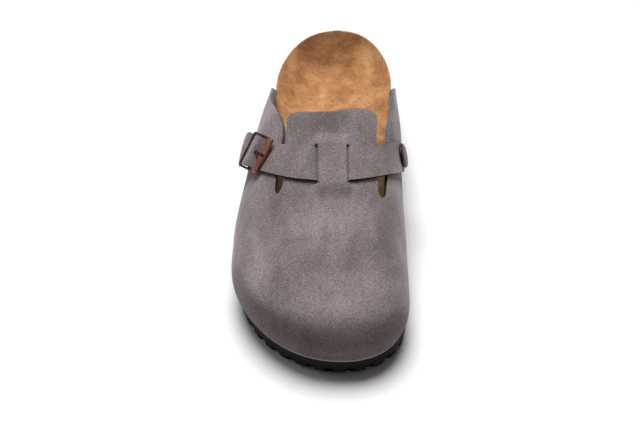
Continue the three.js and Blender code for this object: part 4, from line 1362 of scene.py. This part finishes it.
def underside(station):
    at = station / last["length"]
    risen = rise(at, sole["waistStart"], sole["waistRamp"])
    waist = sole["waistRise"] * risen * smoothStep((sole["waistEnd"] - at) / sole["waistRamp"])
    bevel = sole["heelBevel"] * np.clip(1 - at / sole["heelBevelEnd"], 0, 1) ** 2
    return np.maximum(np.maximum(waist, bevel), springHeight(station) - sole["toeThicker"])


def notchDepth(distance):
    phase = (distance / sole["lugPitch"]) % 1
    return sole["notchDepth"] * rise(np.abs(phase - 0.5), sole["notchFrom"], sole["notchOver"])


def makeOutsole():
    base = soleOutline(1920)
    closed = np.vstack([base, base[:1]])
    lengths = np.concatenate([[0], np.cumsum(np.linalg.norm(np.diff(closed, axis=0), axis=1))])
    perLug = 14
    count = round(lengths[-1] / sole["lugPitch"]) * perLug
    target = lengths[-1] * np.arange(count) / count
    outline = np.stack([np.interp(target, lengths, closed[:, k]) for k in range(3)], axis=-1)
    along = np.roll(outline, -1, axis=0) - np.roll(outline, 1, axis=0)
    normal = unit(np.stack([along[:, 1], -along[:, 0], 0 * along[:, 0]], axis=-1))
    toMiddle = np.array([0, -last["length"] / 2, 0]) - outline
    normal = np.where(((normal * toMiddle).sum(-1) < 0)[:, None], -normal, normal)
    notch = notchDepth((np.arange(count) % perLug) / perLug * sole["lugPitch"])
    # Share of the height from the underside, how far in the ring lies and its share of the notch
    levels = [(1, 0.6, 0), (0.985, 0.25, 0), (0.95, 0.05, 0), (0.9, 0, 0), (0.66, 0, 0), (0.63, 0.18, 0),
              (0.60, 0, 0), (0.44, 0, 0), (0.40, 0.15, 0.25), (0.36, 0.3, 0.9), (0.33, 0.32, 1),
              (0.2, 0.36, 1), (0.08, 0.42, 1), (0.03, 0.6, 1), (0, 1.0, 1)]
    rings = []
    for share, inset, notched in levels:
        ring = outline + normal * (inset + notch * notched)[:, None]
        station = np.clip(-ring[:, 1], 0, last["length"])
        top = featherHeight(station) - fit["clearance"]
        ring[:, 2] = underside(station) + (top - underside(station)) * share
        rings.append(ring)
    points = np.concatenate(rings)
    faces = ringFaces(len(levels), count, lids=False)
    points, faces = capSole(points, faces, rings[0], 0, count, False)
    points, faces = capSole(points, faces, rings[-1], (len(levels) - 1) * count, count, True)
    mesh = solidMesh("rubber_outsole", inMetres(points), faces)
    return smoothPiece("rubber_outsole", mesh, foamRubber, 35)


tread = {"pitch": 7.4, "wave": 2.6, "waveLength": 24, "drift": 0.012, "from": 0.30, "over": 0.08,
         "spine": 1.3, "spineOver": 0.9, "rim": 4.5, "rimOver": 1.2}


# Wavy cross ribs of the tread with a groove along the middle: 1 in a groove, 0 on a rib
def treadGroove(x, station):
    wave = tread["wave"] * np.sin(2 * math.pi * x / tread["waveLength"] + station * tread["drift"])
    ribs = np.abs(((station + wave) / tread["pitch"]) % 1 - 0.5)
    across = rise(ribs, tread["from"], tread["over"])
    spine = 1 - rise(np.abs(x - centreLine(station)), tread["spine"], tread["spineOver"])
    return np.maximum(across, spine)


# Fills a ring of the sole with rows across it, ribbed on the underside
def capSole(points, faces, ring, first, count, ribbed):
    half = count // 2
    columns = 72 if ribbed else 10
    share = (np.arange(1, columns) / columns)[None, :, None]
    left, right = ring[1:half], ring[count - 1:count - half:-1]
    inner = left[:, None, :] * (1 - share) + right[:, None, :] * share
    if ribbed:
        station = np.clip(-inner[..., 1], 0, last["length"])
        fromLeft = np.linalg.norm(inner - left[:, None, :], axis=-1)
        fromRight = np.linalg.norm(inner - right[:, None, :], axis=-1)
        ends = np.minimum(station, last["length"] - station)
        edge = np.minimum(np.minimum(fromLeft, fromRight), ends)
        depth = sole["treadDepth"] * treadGroove(inner[..., 0], station)
        inner[..., 2] = underside(station) + depth * rise(edge, tread["rim"], tread["rimOver"])
    base = len(points)
    points = np.concatenate([points, inner.reshape(-1, 3)])

    def index(row, column):
        if row == 0:
            return first
        if row == half:
            return first + half
        if column == 0:
            return first + row
        if column == columns:
            return first + count - row
        return base + (row - 1) * (columns - 1) + column - 1
    for row in range(half):
        for column in range(columns):
            corners = [(row, column), (row, column + 1), (row + 1, column + 1), (row + 1, column)]
            loop = list(dict.fromkeys(index(*corner) for corner in corners))
            if len(loop) > 2:
                faces.append(tuple(loop))
    return points, faces


stand(makeOutsole(), "outsole", "outsole")
print("stage: outsole made")

# Tones of the suede, placed where the photo shows light and dark: partly the nap's own tone, partly painted
# highlights and painted shade on the toe and painted shade on the medial side
suedeToneAndShadingBlots = table(
    "x station wide long amount",
    (-42, 234, 8, 12, 0.60),
    (-9, 258, 8, 7, 0.50),
    (13, 260, 12, 6, 0.55),
    (-22, 244, 12, 9, -0.25),
    (24, 218, 14, 8, -0.30),
    (6, 236, 20, 9, -0.35),
    (-2, 203, 24, 7, 0.10),
    (-30, 196, 10, 8, -0.25),
    (40, 205, 10, 34, -0.35),
    (42, 112, 12, 30, -0.75),
    (0, 140, 24, 9, -0.30),
    (-36, 130, 10, 24, 0.20),
)

toeShade = {"from": 262, "over": 9, "bow": 90, "below": 40, "belowOver": 8, "amount": 0.85}
slotShade = {"from": 146, "over": 6, "to": 188, "endOver": 3}
paleEdgeLook = {"height": 0.5, "over": 1.3, "from": 200, "fromOver": 30, "amount": 0.5}


def toeField(points):
    across = points[:, 0] - last["toeOffset"]
    ahead = -points[:, 1] - toeShade["from"] + across ** 2 / toeShade["bow"]
    low = smoothStep((toeShade["below"] - points[:, 2]) / toeShade["belowOver"])
    return toeShade["amount"] * smoothStep(ahead / toeShade["over"]) * low


# Painted shade for the cut edges in the slots between collar and tongue
def slotField(points):
    station = -points[:, 1]
    started = rise(station, slotShade["from"], slotShade["over"])
    return started * smoothStep((slotShade["to"] - station) / slotShade["endOver"])


# Paler line along the upper's lower edge
def paleLowerEdge(points):
    above = points[:, 2] - featherHeight(np.clip(-points[:, 1], 0, last["length"]))
    low = 1 - rise(above, paleEdgeLook["height"], paleEdgeLook["over"])
    return low * rise(-points[:, 1], paleEdgeLook["from"], paleEdgeLook["fromOver"])


# Painted on the suede: tone patches with painted highlights and painted shade, a paler lower edge, painted
# shade on the toe's front and on the cut edges in the slots
for piece in (upperShell, strapBand, buckleTab):
    here = partPoints(piece)
    paleLine = paleLowerEdge(here)
    paintPoints(piece, "blot", blotField(here, suedeToneAndShadingBlots) + paleEdgeLook["amount"] * paleLine)
    paintPoints(piece, "toeShade", toeField(here) * (1 - paleLine))
    paintPoints(piece, "inSlot", slotField(here))

# Loose nap fibres lying on the suede, scattered by Geometry Nodes
napLook = {"density": 330000, "length": 0.9, "width": 0.055, "lowest": 62, "highest": 86, "seed": 11}


def makeNapTree():
    tree = bpy.data.node_groups.new("nap fibres", "GeometryNodeTree")
    sockets = [("Surface", "NodeSocketGeometry"), ("Density", "NodeSocketFloat"),
               ("Fibre length", "NodeSocketFloat"), ("Fibre width", "NodeSocketFloat"),
               ("Lowest lean", "NodeSocketFloat"), ("Highest lean", "NodeSocketFloat"),
               ("Seed", "NodeSocketInt"), ("Fibre", "NodeSocketMaterial")]
    for name, kind in sockets:
        tree.interface.new_socket(name=name, in_out="INPUT", socket_type=kind)
    tree.interface.new_socket(name="Nap", in_out="OUTPUT", socket_type="NodeSocketGeometry")

    def add(kind, settings=None, inputs=None):
        node = tree.nodes.new(kind)
        for name, setting in (settings or {}).items():
            setattr(node, name, setting)
        for key, value in (inputs or {}).items():
            if isinstance(value, bpy.types.NodeSocket):
                tree.links.new(value, node.inputs[key])
            else:
                node.inputs[key].default_value = value
        return node
    given = add("NodeGroupInput").outputs
    face = add("GeometryNodeInputMaterialIndex").outputs[0]
    settings = {"data_type": "INT", "operation": "EQUAL"}
    outer = add("FunctionNodeCompare", settings, {2: face, 3: 0}).outputs[0]
    points = add("GeometryNodeDistributePointsOnFaces", {"distribute_method": "RANDOM"},
                 {"Mesh": given["Surface"], "Selection": outer, "Density": given["Density"],
                  "Seed": given["Seed"]})
    fibre = add("GeometryNodeMeshCone", {"fill_type": "NONE"},
                {"Vertices": 3, "Radius Top": 0.0, "Radius Bottom": given["Fibre width"],
                 "Depth": given["Fibre length"]})
    lowest = add("ShaderNodeCombineXYZ", {}, {"X": given["Lowest lean"]}).outputs[0]
    highest = add("ShaderNodeCombineXYZ", {}, {"X": given["Highest lean"], "Z": 2 * math.pi}).outputs[0]
    lean = add("FunctionNodeRandomValue", {"data_type": "FLOAT_VECTOR"},
               {"Min": lowest, "Max": highest, "Seed": given["Seed"]})
    turned = add("FunctionNodeEulerToRotation", {}, {0: lean.outputs[0]}).outputs[0]
    rotation = add("FunctionNodeRotateRotation", {"rotation_space": "LOCAL"},
                   {0: points.outputs["Rotation"], 1: turned})
    size = add("FunctionNodeRandomValue", {"data_type": "FLOAT"}, {2: 0.5, 3: 1.2, "Seed": given["Seed"]})
    placed = add("GeometryNodeInstanceOnPoints", {},
                 {"Points": points.outputs["Points"], "Instance": fibre.outputs["Mesh"],
                  "Rotation": rotation.outputs[0], "Scale": size.outputs[1]})
    whole = add("GeometryNodeRealizeInstances", {}, {0: placed.outputs[0]})
    done = add("GeometryNodeSetMaterial", {}, {"Geometry": whole.outputs[0], "Material": given["Fibre"]})
    add("NodeGroupOutput", {}, {0: done.outputs[0]})
    return tree


def growNap(name, source, tree):
    piece = addObject(name, source.data.copy())
    scatter = piece.modifiers.new("nap", "NODES")
    scatter.node_group = tree
    values = {"Density": float(napLook["density"]), "Fibre length": napLook["length"] * millimetre,
              "Fibre width": napLook["width"] * millimetre, "Lowest lean": math.radians(napLook["lowest"]),
              "Highest lean": math.radians(napLook["highest"]), "Seed": napLook["seed"], "Fibre": suede}
    for socket in tree.interface.items_tree:
        if socket.name in values:
            scatter[socket.identifier] = values[socket.name]
    bakeModifiers(piece)
    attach(piece, "root")
    return len(piece.data.polygons)


napTree = makeNapTree()
napFaces = [growNap("upper_nap", upperShell, napTree), growNap("strap_nap", strapBand, napTree)]
print("stage: nap fibres,", *napFaces, "faces")

# Floor, light and camera
stageLook = {"floor": 0.82, "world": 0.125, "sky": (1, 0.925, 0.89, 1), "key": 4.1, "keyAngle": 36,
             "keyFrom": (-0.05, 0.54, 1.15), "fill": 0.9, "fillSize": 0.5,
             "fillPlace": (-0.85, 0.10, 0.55), "fillAim": (0, -0.02, 0.03)}


def makeFloor():
    maker = Maker("pale floor")
    level = stageLook["floor"]
    color = maker.mix(maker.noise(3, 2, 0.4), (level - 0.01,) * 3, (level,) * 3)
    material = maker.finish({"Base Color": color, "Roughness": 0.7, "Specular IOR Level": 0.1})
    mesh = meshFromArrays("floor", [(-6, -6, 0), (6, -6, 0), (6, 6, 0), (-6, 6, 0)], [(0, 1, 2, 3)])
    mesh.materials.append(material)
    floor = addObject("floor", mesh)


def addLight(name, kind, strength, aim):
    light = bpy.data.lights.new(name, kind)
    light.energy = strength
    lamp = addObject(name, light)
    lamp.rotation_euler = aim.to_track_quat("-Z", "Y").to_euler()
    return lamp


makeFloor()
key = addLight("key", "SUN", stageLook["key"], -Vector(stageLook["keyFrom"]))
key.data.angle = math.radians(stageLook["keyAngle"])
fillPlace = Vector(stageLook["fillPlace"])
fill = addLight("fill", "AREA", stageLook["fill"], Vector(stageLook["fillAim"]) - fillPlace)
fill.location = fillPlace
fill.data.shape = "DISK"
fill.data.size = stageLook["fillSize"]
world = bpy.data.worlds.new("studio")
world.use_nodes = True
sky = world.node_tree.nodes["Background"].inputs
sky["Color"].default_value = stageLook["sky"]
sky["Strength"].default_value = stageLook["world"]
bpy.context.scene.world = world
bpy.context.scene.view_settings.view_transform = "Standard"

view = {"elevation": 45, "distance": 977, "rise": 41.87, "base": (52.4, -227, 27), "turn": 3.27,
        "angle": 22.48}


def makeCamera():
    tilt = math.radians(view["elevation"])
    turn = math.radians(view["turn"])
    up = Vector((0, math.sin(tilt), math.cos(tilt)))
    forward = Vector((0, math.cos(tilt), -math.sin(tilt)))
    right = Vector((1, 0, 0))
    base = Vector(view["base"]) + Vector((toFrame[0], toFrame[1], 0))
    place = (base + up * view["rise"] - forward * view["distance"]) * millimetre
    aim = forward * math.cos(turn) - right * math.sin(turn)
    side = right * math.cos(turn) + forward * math.sin(turn)
    camera = bpy.data.cameras.new("camera")
    camera.sensor_fit = "HORIZONTAL"
    camera.angle = math.radians(view["angle"])
    camera.clip_start = 0.01
    holder = addObject("camera", camera)
    rows = Matrix((side, up, -aim)).transposed().to_4x4()
    holder.matrix_world = Matrix.Translation(place) @ rows
    bpy.context.scene.camera = holder


makeCamera()
